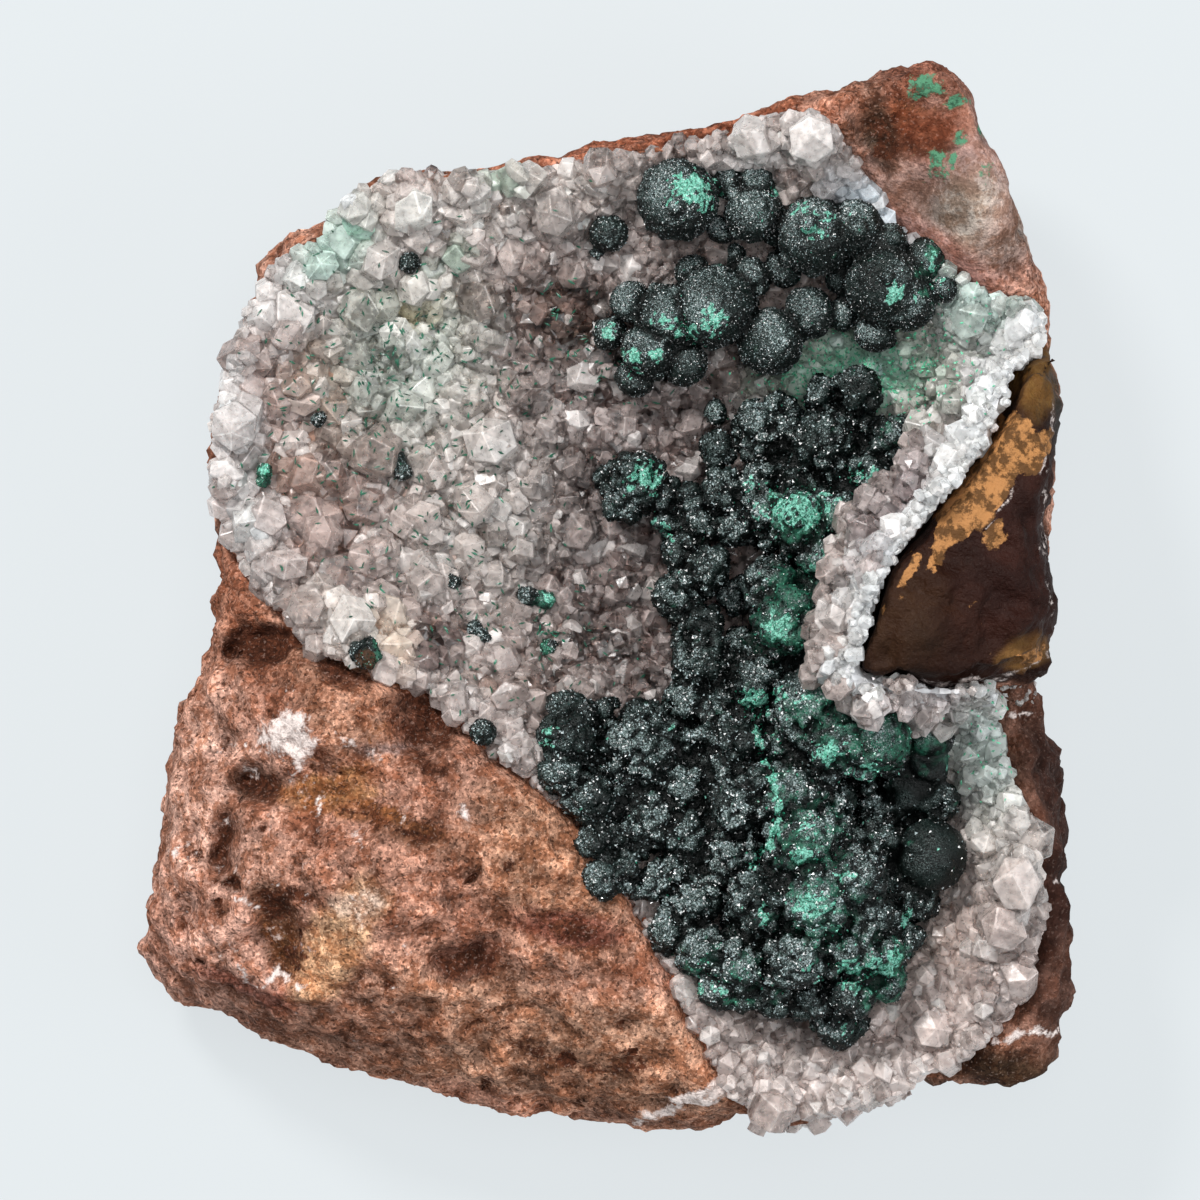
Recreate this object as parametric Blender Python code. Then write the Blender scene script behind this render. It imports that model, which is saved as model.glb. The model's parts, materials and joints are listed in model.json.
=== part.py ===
"""Malachite on quartz: a loose hand specimen, lying on its broken back, face up.

A slab of red-brown host rock holds an open hollow. A crust of pointed quartz crystals lines the hollow,
and dark green malachite has grown on the quartz as round balls and lumpy masses.

The frame: +X to the right of the display face, +Y to its top, +Z out of it. The origin is the centre of
the footprint on the surface that the specimen lies on. Lengths are in millimetres until a mesh is made.

How the solids are made:
  the face is a smooth relief through hand-set heights, with a raised block of rock on its right;
  the rock is that relief on ragged sides and a flat back, roughened and cut down to facets;
  the crust is a skin on the relief whose top is a field of six-sided quartz tips;
  the malachite is made of balls on stalks, melted together and cut to fit the crust.
"""

import math
import random

import bmesh
import bpy
import numpy as np
from mathutils import Matrix, Vector, noise
from mathutils.geometry import delaunay_2d_cdt

MM = 0.001
FIT_GAP = 0.3
SEED = 11

# Driving sizes of the specimen
CRUST_THICKNESS = 3.0
CRUST_TAPER = 2.5
SUNK_IN_ROCK = 3.0
BLOCK_EDGE = 1.5
SIDE_ROUNDING = 2.5
BASE_INSET = 0.85
STALK_DEPTH = 1.5

# Crystal tips of the druse: the small ones' radius range, and how much more it is left of COARSE_SIDE_X
TIP_RADIUS = (1.75, 2.55)
TIP_RISE = (0.6, 1.5)
TIP_STEEPNESS = 0.55
COARSE_SIDE_X = -12.0
COARSE_EXTRA = 0.35
TIP_TRIES = 9000
FLOOR_SPACING = 4.5

# How finely the pieces are cut into facets
RIM_CORNERS = 84
ROCK_VOXEL = 1.1
ROCK_FACETS = 1700
MALACHITE_VOXEL = 0.55
MAIN_MASS_FACETS = 1500
UPPER_CLUSTER_FACETS = 760
BEAD_FACETS = 22
BEAD_FACETS_EACH = 14

# Outline of the whole specimen from the front, clockwise from the foot of the upper right horn
OUTLINE = [
    (23.0, 50.8), (26.2, 51.6), (28.5, 53.0), (33.0, 54.0), (35.7, 53.3), (37.3, 51.2), (38.2, 47.0),
    (40.3, 42.0), (42.5, 36.0), (44.7, 30.0), (45.0, 25.5), (45.8, 21.0), (45.0, 13.0), (44.5, 8.0),
    (45.5, 1.0), (45.5, -5.0), (43.7, -9.0), (44.5, -13.5), (46.2, -18.0), (46.8, -25.0), (46.4, -30.5),
    (47.1, -36.5), (46.6, -43.0), (45.8, -46.8), (43.5, -48.2), (36.0, -48.5), (32.5, -48.2),
    (30.5, -49.6), (25.0, -50.9), (19.0, -52.2), (16.5, -52.6), (14.2, -51.5), (12.0, -53.5), (9.0, -53.8),
    (4.0, -53.0), (-4.0, -52.8), (-11.0, -51.7), (-17.0, -50.0), (-23.5, -48.6), (-29.0, -47.2),
    (-34.5, -44.2), (-39.5, -42.2), (-43.2, -41.6), (-45.7, -39.0), (-47.0, -36.0), (-46.2, -32.5),
    (-44.4, -28.5), (-44.0, -22.0), (-43.0, -14.0), (-41.0, -7.0), (-39.2, -1.0), (-38.7, 4.0),
    (-39.3, 10.0), (-39.4, 15.0), (-38.0, 22.0), (-35.8, 28.0), (-34.4, 33.0), (-31.4, 36.0),
    (-27.2, 38.0), (-23.6, 41.8), (-20.0, 43.4), (-14.5, 43.2), (-8.0, 44.3), (0.0, 45.4), (8.0, 47.2),
    (16.0, 49.2),
]

# Outline of the quartz crust, clockwise from the left end of its lower edge
CRUST_OUTLINE = [
    (-37.8, 5.5), (-38.6, 9.5), (-39.4, 13.5), (-39.1, 17.5), (-38.0, 22.0), (-36.6, 26.0), (-35.0, 30.0),
    (-32.8, 33.8), (-28.8, 36.0), (-27.0, 38.7), (-23.8, 41.7), (-20.0, 43.2), (-15.0, 42.8), (-8.0, 43.2),
    (-1.5, 43.8), (4.0, 44.8), (10.0, 46.0), (16.0, 48.0), (21.0, 49.0), (24.0, 46.5), (25.8, 43.5),
    (28.0, 40.5), (30.5, 36.8), (34.5, 33.5), (38.5, 30.8), (43.5, 30.0), (44.8, 27.5), (43.8, 25.0),
    (40.8, 22.8), (40.0, 19.5), (38.4, 15.3), (35.0, 11.2), (31.9, 7.7), (28.5, 3.4), (27.0, -0.7),
    (26.2, -3.8), (24.8, -6.8), (25.3, -8.3), (30.0, -7.8), (32.6, -9.2), (38.0, -8.4), (40.3, -9.5),
    (40.1, -13.6), (41.7, -17.7), (42.2, -20.2), (44.0, -22.8), (44.4, -27.0), (45.0, -31.0),
    (43.9, -35.5), (42.5, -40.6), (39.0, -44.5), (36.0, -46.6), (32.7, -48.0), (30.5, -50.0),
    (25.0, -51.4), (19.5, -52.8), (16.5, -53.4), (14.5, -51.3), (12.2, -48.5), (10.0, -44.5), (8.0, -40.0),
    (6.2, -36.0), (4.5, -33.0), (2.2, -29.0), (-0.2, -25.0), (-2.5, -21.5), (-5.5, -19.7), (-8.0, -17.0),
    (-11.2, -15.2), (-14.0, -12.5), (-16.5, -9.7), (-20.5, -8.0), (-25.0, -6.7), (-29.0, -5.0),
    (-32.5, -1.2), (-35.5, 2.2),
]

# Outline of the raised block with the quartz band on its left side, and of its bare rock alone
BLOCK_OUTLINE = [
    (48.0, 26.5), (44.5, 25.6), (40.0, 23.6), (37.2, 22.0), (36.2, 19.0), (34.5, 15.5), (32.0, 12.0),
    (30.2, 9.6), (27.8, 8.0), (26.0, 5.6), (24.8, 3.0), (24.2, -1.0), (23.7, -5.0), (24.0, -7.8),
    (26.0, -8.8), (30.0, -8.6), (32.4, -9.8), (38.0, -9.2), (44.0, -8.6), (48.0, -7.5), (50.0, 10.0),
]
BARE_BLOCK_OUTLINE = [
    (50.0, 26.0), (44.5, 25.2), (40.8, 22.8), (40.0, 19.5), (38.4, 15.3), (35.0, 11.2), (31.9, 7.7),
    (28.5, 3.4), (27.0, -0.7), (26.2, -3.8), (24.8, -6.8), (25.3, -8.3), (30.0, -7.8), (32.6, -9.2),
    (38.0, -8.4), (44.0, -8.0), (50.0, -6.5),
]

# Heights of the face above the surface that the specimen lies on, as (x, y, height)
FACE_HEIGHTS = [
    # druse field on the left, a shallow dish
    (-38.5, 12.0, 26.0), (-36.5, 25.0, 27.0), (-31.0, 34.0, 28.0), (-23.0, 41.0, 30.0), (-12.0, 42.5, 31.0),
    (-15.0, 35.0, 27.0), (-25.0, 25.0, 24.5), (-12.0, 28.0, 24.5), (0.0, 35.0, 26.0), (-20.0, 15.0, 23.0),
    (-10.0, 12.0, 23.5), (0.0, 20.0, 22.0), (8.0, 15.0, 21.0), (-5.0, 3.0, 20.5), (4.0, -2.0, 19.5),
    (-33.0, 10.0, 25.0), (-30.0, 0.0, 28.5), (-29.0, -4.5, 31.0), (-22.0, -6.5, 31.5), (-15.0, -5.0, 26.0),
    (-23.0, 0.0, 26.5), (-13.0, -12.0, 31.0), (-6.0, -18.5, 32.0), (-4.0, -12.0, 27.0),
    # upper rim and the floor below it
    (2.0, 44.2, 32.5), (14.0, 47.0, 35.0), (22.0, 47.0, 37.0), (14.0, 41.5, 28.5), (21.0, 40.0, 28.0),
    (6.5, 40.5, 27.5), (26.5, 38.5, 30.0),
    (8.0, 33.0, 24.5), (16.0, 33.0, 23.5), (24.0, 34.0, 24.5), (30.0, 37.5, 30.5), (40.0, 30.5, 31.5),
    (28.0, 25.0, 23.0), (35.0, 25.0, 26.5), (22.0, 20.0, 20.0), (41.0, 27.0, 30.0),
    # trench and the lower bowl
    (10.0, 0.0, 19.0), (20.0, 5.0, 18.0), (20.0, -10.0, 17.0), (20.0, -25.0, 17.0), (4.0, -20.0, 25.0),
    (2.5, -28.0, 30.0), (10.0, -30.0, 22.0), (8.0, -38.0, 30.5), (14.0, -50.0, 30.0), (16.0, -44.0, 26.0),
    (23.0, -51.5, 27.0), (30.0, -45.0, 25.0), (25.0, -35.0, 19.0), (36.0, -40.0, 26.0), (40.0, -34.0, 28.0),
    (30.0, -28.0, 18.0), (43.5, -27.0, 30.0), (34.0, -20.0, 20.0), (40.0, -20.0, 28.0), (38.0, -13.0, 26.0),
    (32.0, 6.0, 22.0),
    # bare rock, lower left
    (-38.0, -3.0, 25.0), (-41.0, -10.0, 24.0), (-33.0, -10.0, 30.0), (-25.0, -15.0, 33.0),
    (-15.0, -20.0, 33.5), (-42.0, -22.0, 23.0), (-33.0, -22.0, 31.0), (-22.0, -30.0, 34.0),
    (-10.0, -28.0, 33.5), (0.0, -35.0, 32.5), (-44.0, -35.0, 20.0), (-36.0, -35.0, 28.0),
    (-25.0, -42.0, 27.0), (-12.0, -45.0, 26.0), (0.0, -47.0, 27.0), (8.0, -50.0, 27.5),
    (-41.0, -41.0, 17.0), (-28.0, -47.0, 19.0), (-15.0, -50.5, 20.0), (0.0, -53.0, 21.0), (12.0, -53.0, 25.0),
    # bare rock, right strip, left and top edges
    (46.0, -15.0, 26.0), (46.5, -28.0, 27.5), (46.5, -40.0, 27.0), (40.0, -47.0, 26.0), (45.0, -47.5, 25.0),
    (-39.5, 5.0, 24.0), (0.0, 45.4, 31.5), (16.0, 49.2, 34.5),
    # horn at the upper right, scooped on its inner side
    (24.5, 50.5, 36.5), (33.0, 53.5, 37.5), (28.5, 47.0, 33.5), (30.0, 43.0, 32.5), (36.0, 49.0, 37.0),
    (36.0, 42.0, 36.0), (37.0, 36.0, 34.0), (42.0, 34.0, 31.5), (44.0, 31.0, 31.0),
]

# Heights of the raised block's nearly flat top
BLOCK_HEIGHTS = [
    (45.0, 26.0, 37.5), (37.0, 22.5, 39.5), (45.0, 12.0, 41.5), (33.0, 11.0, 42.5), (27.0, 0.0, 43.5),
    (24.5, -7.5, 43.0), (32.0, -9.0, 42.5), (44.0, -7.0, 40.5), (46.0, 2.0, 41.5),
]

# Hollows and knobs on the bare rock, as (x, y, radius, depth); a negative depth is a knob
ROCK_PITS = [
    (-34.0, -4.5, 3.6, 2.2), (-29.0, -20.0, 4.5, 2.4), (-36.5, -26.0, 3.2, 1.6), (-22.0, -19.5, 3.4, 1.4),
    (-31.5, -33.5, 5.0, 2.6), (-25.0, -37.5, 3.0, 1.2), (-12.5, -33.0, 5.5, 1.8), (-17.0, -12.5, 3.2, 2.0),
    (-8.0, -41.0, 6.0, 1.0), (-26.5, -12.5, 3.4, -1.2), (-20.0, -26.0, 5.0, -1.0), (-3.0, -30.0, 5.0, -0.9),
    (36.5, 47.5, 4.0, 1.0), (31.5, 40.5, 3.0, 1.2),
]

# Crystals of the druse that stand out, as (x, y, radius, height above their neighbours)
LARGE_TIPS = [
    (-36.5, 17.4, 2.6, 1.6), (-22.8, 14.6, 2.4, 1.6), (-10.4, 15.8, 2.8, 2.0), (-12.5, 9.6, 2.4, 1.2),
    (-17.6, 8.2, 2.0, 1.5), (-31.0, 26.4, 2.4, 1.5), (-28.4, 31.8, 2.2, 1.2), (-24.4, -2.2, 2.4, 1.8),
    (-22.6, -0.2, 2.2, 1.6), (-4.6, 38.4, 2.4, 1.8), (-11.4, 29.8, 2.2, 1.4), (-7.6, 21.0, 2.0, 1.6),
    (-34.0, 8.8, 2.2, 1.4), (-27.5, 19.0, 2.0, 1.2), (-18.5, 38.5, 2.6, 1.4), (-31.5, 3.0, 2.2, 1.4),
    (38.6, -17.6, 2.4, 2.2), (42.0, -27.5, 2.8, 2.2), (35.5, -16.6, 1.8, 1.6), (40.5, -33.0, 2.4, 1.6),
    (21.0, 45.6, 2.4, 1.4), (15.0, 45.2, 2.4, 1.2), (37.0, 27.8, 2.2, 1.2), (17.6, -50.4, 2.6, 1.6),
    (-4.4, -15.2, 2.2, 1.4), (-9.0, -9.6, 2.0, 1.4), (-2.2, 7.0, 1.8, 1.8), (5.4, 1.2, 1.8, 1.6),
]

# Crystals on the block's inner wall: the top edge of the wall as (x, y, height)
WALL_EDGE = [
    (37.2, 22.5, 37.0), (35.2, 17.0, 39.0), (31.5, 11.6, 40.5), (27.4, 7.8, 41.5), (24.8, 3.0, 42.0),
    (24.0, -2.0, 42.3), (23.9, -7.2, 42.0), (27.0, -8.9, 40.5), (31.5, -9.6, 37.5), (37.0, -9.4, 35.0),
]
WALL_CRYSTALS_ALONG = 13
WALL_ROWS = 2
WALL_ROW_DROP = 3.6
WALL_CRYSTAL_RADIUS = (1.2, 1.9)
WALL_CRYSTAL_LENGTH = (2.8, 4.2)

# Balls of the upper cluster, as (x, y, radius, height of the top)
UPPER_BALLS = [
    (7.8, 40.0, 4.0, 35.4), (12.6, 41.8, 1.8, 31.6), (10.9, 41.6, 1.5, 31.0), (12.2, 37.2, 1.2, 28.4),
    (15.4, 38.8, 2.9, 33.0), (15.6, 41.6, 1.8, 32.0), (21.6, 36.4, 3.9, 34.4), (25.2, 37.0, 3.1, 33.6),
    (18.0, 37.2, 1.9, 30.4), (15.1, 32.5, 1.8, 29.4), (18.4, 33.4, 1.9, 29.2), (20.9, 28.7, 2.5, 30.4),
    (17.0, 26.0, 3.3, 31.6), (28.4, 31.6, 3.9, 34.4), (30.6, 30.0, 3.0, 33.0), (27.6, 27.0, 2.0, 30.0),
    (28.4, 35.4, 2.4, 32.4), (32.2, 34.0, 2.1, 32.0), (34.2, 31.2, 1.3, 31.2), (24.8, 32.6, 2.2, 30.0),
    (24.4, 28.8, 1.7, 28.8), (11.4, 29.4, 4.1, 33.0), (7.0, 28.4, 3.2, 31.4), (5.0, 25.2, 2.8, 30.6),
    (3.2, 29.8, 2.0, 29.2), (9.4, 32.6, 1.8, 29.2), (3.6, 22.4, 1.8, 27.8), (1.0, 26.8, 1.4, 28.0),
    (8.4, 23.8, 2.2, 29.2), (13.4, 34.2, 1.3, 27.6), (14.2, 29.6, 1.8, 28.6),
]

# Lumps of the main mass, from its upper balls down to the nub at its foot
MAIN_LUMPS = [
    (11.7, 18.8, 1.0, 25.6), (15.6, 17.9, 1.9, 28.0), (15.9, 15.0, 1.6, 27.0), (11.9, 15.1, 1.7, 27.4),
    (18.9, 17.3, 1.6, 28.0), (22.3, 16.0, 2.8, 31.0), (25.8, 21.0, 2.2, 29.0), (22.6, 20.4, 1.6, 28.0),
    (26.4, 17.6, 1.5, 28.0), (20.2, 12.5, 1.5, 27.6), (29.6, 15.8, 2.5, 30.0), (27.0, 12.6, 2.4, 30.4),
    (3.6, 11.7, 2.8, 28.4), (0.4, 12.2, 0.9, 25.0), (2.7, 10.2, 2.0, 27.6), (6.8, 10.4, 1.4, 26.2),
    (9.4, 10.0, 1.6, 27.0), (12.4, 11.0, 2.1, 28.4), (15.6, 10.6, 2.1, 29.0), (10.2, 7.8, 1.7, 27.4),
    (13.6, 7.6, 1.9, 28.2), (17.2, 9.0, 2.2, 30.0), (20.2, 8.2, 3.0, 32.4), (23.8, 8.4, 2.5, 32.2),
    (21.8, 4.6, 2.3, 31.6), (22.2, 1.6, 2.0, 30.4), (8.3, 4.9, 1.6, 27.0), (10.6, 3.1, 2.1, 28.6),
    (7.8, 0.5, 2.1, 28.2), (10.1, -2.5, 2.0, 28.0), (14.0, 0.4, 1.7, 23.0), (17.4, 1.3, 2.9, 31.6),
    (18.9, -2.0, 3.5, 33.6), (21.4, -1.2, 2.0, 31.0), (10.2, -6.2, 2.7, 29.0), (14.2, -5.0, 2.0, 26.4),
    (16.2, -8.2, 2.6, 30.4), (9.0, -10.2, 2.1, 28.4), (12.2, -10.4, 2.3, 28.8), (13.5, -14.2, 2.6, 31.4),
    (21.2, -10.4, 3.6, 35.4), (24.8, -10.8, 2.4, 34.0), (23.5, -14.0, 3.2, 36.2), (27.3, -13.9, 3.4, 36.2),
    (30.4, -11.6, 1.9, 31.0), (32.6, -13.8, 2.6, 30.2), (30.9, -19.8, 2.1, 28.6), (32.9, -25.6, 3.6, 31.6),
    (28.6, -21.6, 2.6, 28.0), (19.0, -20.2, 3.7, 36.0), (14.4, -20.4, 3.4, 34.4), (8.2, -18.8, 2.9, 31.6),
    (12.6, -16.4, 2.2, 31.0), (3.9, -14.9, 3.7, 32.8), (4.4, -12.4, 2.2, 30.6), (0.2, -12.0, 1.6, 29.0),
    (-2.9, -11.6, 2.2, 32.0), (-4.8, -14.5, 1.6, 32.0), (-3.4, -14.0, 2.6, 33.4), (-3.8, -17.2, 2.2, 34.0),
    (-1.0, -20.0, 2.2, 34.2), (1.6, -17.6, 2.0, 31.6), (-0.2, -23.8, 1.8, 34.0), (0.3, -27.8, 1.9, 34.4),
    (2.3, -26.4, 1.6, 33.6), (2.9, -23.3, 2.1, 32.6), (5.4, -22.3, 2.9, 31.8), (4.4, -19.6, 1.9, 31.0),
    (8.8, -23.4, 3.0, 32.0), (13.8, -25.4, 3.0, 33.4), (7.6, -27.2, 2.3, 31.6), (5.2, -28.2, 1.7, 32.0),
    (20.6, -24.6, 3.9, 38.4), (16.4, -29.8, 3.4, 36.6), (21.8, -29.6, 3.8, 39.4), (24.6, -27.8, 3.4, 38.6),
    (26.4, -31.0, 2.7, 36.4), (9.2, -30.0, 2.6, 32.2), (7.2, -33.2, 2.1, 31.8), (10.4, -35.0, 2.6, 33.2),
    (14.2, -36.2, 2.9, 34.2), (12.2, -38.6, 2.2, 32.6), (20.0, -35.2, 3.3, 37.0), (25.0, -34.2, 2.9, 36.6),
    (27.8, -35.2, 2.3, 34.8), (25.2, -39.0, 2.5, 33.8), (17.4, -39.0, 2.4, 32.8), (21.2, -39.4, 2.4, 32.6),
    (24.0, -42.0, 2.6, 30.2), (30.2, -30.4, 2.2, 29.8), (32.2, -30.6, 1.2, 28.4), (27.6, -24.4, 2.4, 31.0),
]

# Outline of the whole main mass, and the line of the deep slot that stays open in it
MASS_OUTLINE = [
    (10.8, 18.8), (15.4, 19.8), (19.0, 20.0), (22.2, 21.4), (26.6, 22.4), (28.2, 19.0), (31.9, 17.7),
    (32.2, 14.5), (30.2, 11.4), (27.0, 9.4), (26.8, 7.2), (24.8, 5.5), (23.7, 0.5), (23.2, -4.5),
    (24.4, -8.2), (29.3, -8.8), (33.4, -11.9), (35.2, -17.0), (36.4, -23.5), (36.6, -28.0), (33.7, -31.3),
    (31.4, -35.2), (30.3, -38.3), (27.2, -40.5), (27.0, -42.5), (23.9, -44.2), (21.3, -41.9),
    (18.2, -41.1), (12.6, -41.5), (8.5, -38.0), (6.5, -34.1), (3.5, -30.5), (0.9, -29.4), (-1.2, -27.6),
    (-2.2, -21.8), (-4.9, -19.0), (-6.2, -14.1), (-4.6, -10.6), (-2.5, -9.8), (0.6, -12.3), (4.2, -10.8),
    (6.2, -11.7), (7.0, -7.0), (7.9, -3.8), (5.3, -0.5), (5.5, 2.6), (7.2, 5.3), (4.6, 8.6), (0.4, 10.6),
    (-0.6, 12.8), (2.8, 14.8), (6.5, 13.4), (8.9, 11.2), (11.4, 13.6), (10.4, 16.6),
]
SLOT = ((13.4, 5.0), (13.2, -3.5))
SLOT_HALF_WIDTH = 1.6
FILLING_SPACING = 2.2
FILLING_RADIUS = (1.4, 2.1)
FILLING_DROP = (0.6, 2.2)
FILLING_TRIES = 1500

# Malachite beads that stand alone on the quartz, as balls (x, y, radius, rise of the top above the quartz)
LONE_BEADS = {
    "upper_left_ball": [(0.9, 36.8, 2.1, 3.6), (-0.4, 34.8, 0.8, 2.0)],
    "bead_on_the_rim": [(-19.1, 33.8, 1.2, 2.6)],
    "bead_in_the_field": [(-28.3, 18.2, 0.9, 2.4)],
    "double_bead": [(-20.4, 14.2, 0.9, 2.3), (-19.8, 12.9, 1.0, 2.4)],
    "bright_bead": [(-33.7, 12.9, 0.9, 2.4), (-33.8, 12.0, 0.8, 2.2)],
    "bead_by_the_dish": [(-15.0, 2.6, 0.8, 2.2), (-14.7, 1.8, 0.9, 2.4)],
    "bright_pair": [(-7.4, 0.3, 1.2, 2.5), (-5.5, 0.0, 1.1, 2.3), (-6.5, 0.2, 0.9, 2.0)],
    "long_bead": [(-12.6, -2.8, 0.9, 2.3), (-11.8, -3.8, 0.9, 2.2)],
    "low_bead": [(-5.1, -4.8, 1.0, 2.4)],
    "bead_on_the_edge": [(-11.7, -13.2, 1.5, 2.6)],
    "brown_green_knob": [(-23.5, -5.4, 1.8, 2.6)],
    "bead_by_the_band": [(34.6, 18.3, 1.3, 2.8), (33.8, 18.8, 1.0, 2.4)],
}


def clear_scene():
    for obj in list(bpy.data.objects):
        bpy.data.objects.remove(obj)


def rock_or_gem_material(name, colour, roughness, transmission=0.0):
    material = bpy.data.materials.new(name)
    material.use_nodes = True
    shader = material.node_tree.nodes["Principled BSDF"]
    shader.inputs["Base Color"].default_value = (*colour, 1.0)
    shader.inputs["Roughness"].default_value = roughness
    shader.inputs["Metallic"].default_value = 0.0
    shader.inputs["Transmission Weight"].default_value = transmission
    material.diffuse_color = (*colour, 1.0)
    return material


def object_from_mm(name, points, faces, material=None, helper=False):
    """A mesh object from points in millimetres. A helper is a cutter or a guide and isn't a piece."""
    mesh = bpy.data.meshes.new(name)
    mesh.from_pydata([tuple(float(c) * MM for c in p) for p in points], [], faces)
    mesh.update()
    obj = bpy.data.objects.new(name, mesh)
    bpy.context.scene.collection.objects.link(obj)
    if material:
        mesh.materials.append(material)
    if helper:
        obj.hide_render = True
        obj.display_type = "WIRE"
    return obj


def bake(obj):
    """Replaces an object's mesh by the one its modifiers make."""
    graph = bpy.context.evaluated_depsgraph_get()
    made = bpy.data.meshes.new_from_object(obj.evaluated_get(graph))
    obj.modifiers.clear()
    obj.data = made


def add_boolean(obj, other, operation, self_touching=False):
    modifier = obj.modifiers.new(operation.lower() + "_" + other.name, "BOOLEAN")
    modifier.operation = operation
    modifier.object = other
    modifier.solver = "EXACT"
    modifier.use_self = self_touching


def add_voxel_remesh(obj, voxel):
    modifier = obj.modifiers.new("melt_together", "REMESH")
    modifier.mode = "VOXEL"
    modifier.voxel_size = voxel * MM
    modifier.adaptivity = 0.0


def decimate_to(obj, facets):
    """Cuts a closed mesh down to about that many triangles."""
    triangles = sum(len(p.vertices) - 2 for p in obj.data.polygons)
    modifier = obj.modifiers.new("facets", "DECIMATE")
    modifier.ratio = min(1.0, facets / triangles)
    bake(obj)


def signed_distance(points, outline):
    """Distance of each (x, y) to a closed outline, positive inside it."""
    points = np.asarray(points, float)
    start = np.array(outline, float)
    side = np.roll(start, -1, axis=0) - start
    nearest = np.full(len(points), np.inf)
    inside = np.zeros(len(points), bool)
    for (ax, ay), (dx, dy) in zip(start, side):
        to_x, to_y = points[:, 0] - ax, points[:, 1] - ay
        along = np.clip((to_x * dx + to_y * dy) / (dx * dx + dy * dy), 0.0, 1.0)
        nearest = np.minimum(nearest, np.hypot(to_x - along * dx, to_y - along * dy))
        crosses = (ay > points[:, 1]) != (ay + dy > points[:, 1])
        if dy:
            inside ^= crosses & (to_x < dx * to_y / dy)
    return np.where(inside, nearest, -nearest)


def smooth_step(value, low, high):
    share = np.clip((np.asarray(value, float) - low) / (high - low), 0.0, 1.0)
    return share * share * (3.0 - 2.0 * share)


class Relief:
    """A thin-plate surface through hand-set heights, bent as little as possible between them."""

    def __init__(self, heights):
        table = np.array(heights, float)
        self.places = table[:, :2]
        count = len(table)
        flat = np.c_[np.ones(count), self.places]
        system = np.zeros((count + 3, count + 3))
        system[:count, :count] = self.bend(self.places)
        system[:count, count:] = flat
        system[count:, :count] = flat.T
        self.weights = np.linalg.solve(system, np.r_[table[:, 2], np.zeros(3)])

    def bend(self, points):
        squared = ((points[:, None, :] - self.places[None, :, :]) ** 2).sum(2) + 1e-12
        return 0.5 * squared * np.log(squared)

    def at(self, points):
        points = np.asarray(points, float).reshape(-1, 2)
        bent = self.bend(points) @ self.weights[:-3]
        return bent + np.c_[np.ones(len(points)), points] @ self.weights[-3:]


FLOOR = Relief(FACE_HEIGHTS)
BLOCK_TOP = Relief(BLOCK_HEIGHTS)
ALL_BALLS = np.array(UPPER_BALLS + MAIN_LUMPS + [bead for beads in LONE_BEADS.values() for bead in beads])


def crust_top(points):
    """The crust's surface without its crystal tips: the floor, raised where the block's band stands."""
    raised = smooth_step(signed_distance(points, BLOCK_OUTLINE), -BLOCK_EDGE / 2, BLOCK_EDGE / 2)
    floor = FLOOR.at(points)
    return floor + raised * (BLOCK_TOP.at(points) - floor)


def rock_top(points):
    """The rock's face: sunk by the crust's thickness under the crust, raised at the block, with its pits."""
    points = np.asarray(points, float)
    under_crust = smooth_step(signed_distance(points, CRUST_OUTLINE), -CRUST_TAPER / 2, CRUST_TAPER / 2)
    floor = FLOOR.at(points) - CRUST_THICKNESS * under_crust
    for x, y, radius, depth in ROCK_PITS:
        away = np.hypot(points[:, 0] - x, points[:, 1] - y) / radius
        floor = floor - depth * (1.0 - smooth_step(away, 0.45, 1.25)) * (1.0 - under_crust)
    bare_block = smooth_step(signed_distance(points, BARE_BLOCK_OUTLINE), -BLOCK_EDGE / 2, BLOCK_EDGE / 2)
    return floor + bare_block * (BLOCK_TOP.at(points) - floor)


def along_outline(outline, count):
    """Points spaced evenly round a closed outline."""
    corners = np.array(outline + outline[:1], float)
    lengths = np.r_[0.0, np.cumsum(np.hypot(*np.diff(corners, axis=0).T))]
    at = np.linspace(0.0, lengths[-1], count, endpoint=False)
    return np.c_[np.interp(at, lengths, corners[:, 0]), np.interp(at, lengths, corners[:, 1])]


def rock_blank(around=260, rings=46, side_rings=18, below=2.0):
    """The rock before it is roughened: rings over the face, then down the sides and under the back."""
    rim = along_outline(OUTLINE, around)
    points = []
    for ring in range(1, rings + 1):
        share = ring / rings
        flat = rim * share
        height = rock_top(flat) - SIDE_ROUNDING * smooth_step(share, 0.94, 1.03)
        points += np.c_[flat, height].tolist()
    edge_height = np.array(points[-around:])[:, 2]
    for ring in range(1, side_rings + 1):
        share = ring / side_rings
        inset = 1.0 + (BASE_INSET - 1.0) * smooth_step(share, 0.25, 1.15)
        bulge = 1.0 + 0.008 * math.sin(math.pi * min(1.0, share * 2.0))
        points += np.c_[rim * inset * bulge, edge_height * (1 - share) - below * share].tolist()
    centre_top = len(points)
    points.append((0.0, 0.0, float(rock_top([(0.0, 0.0)])[0])))
    points.append((0.0, 0.0, -below))
    faces = []
    for ring in range(rings + side_rings - 1):
        for step in range(around):
            a, b = ring * around + step, ring * around + (step + 1) % around
            faces.append((a, b, b + around, a + around))
    last = (rings + side_rings - 1) * around
    for step in range(around):
        after = (step + 1) % around
        faces.append((centre_top, after, step))
        faces.append((centre_top + 1, last + step, last + after))
    return points, faces


def outward(obj):
    """Turns the faces of a closed mesh to point out."""
    made = bmesh.new()
    made.from_mesh(obj.data)
    bmesh.ops.recalc_face_normals(made, faces=made.faces)
    made.to_mesh(obj.data)
    made.free()


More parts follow.
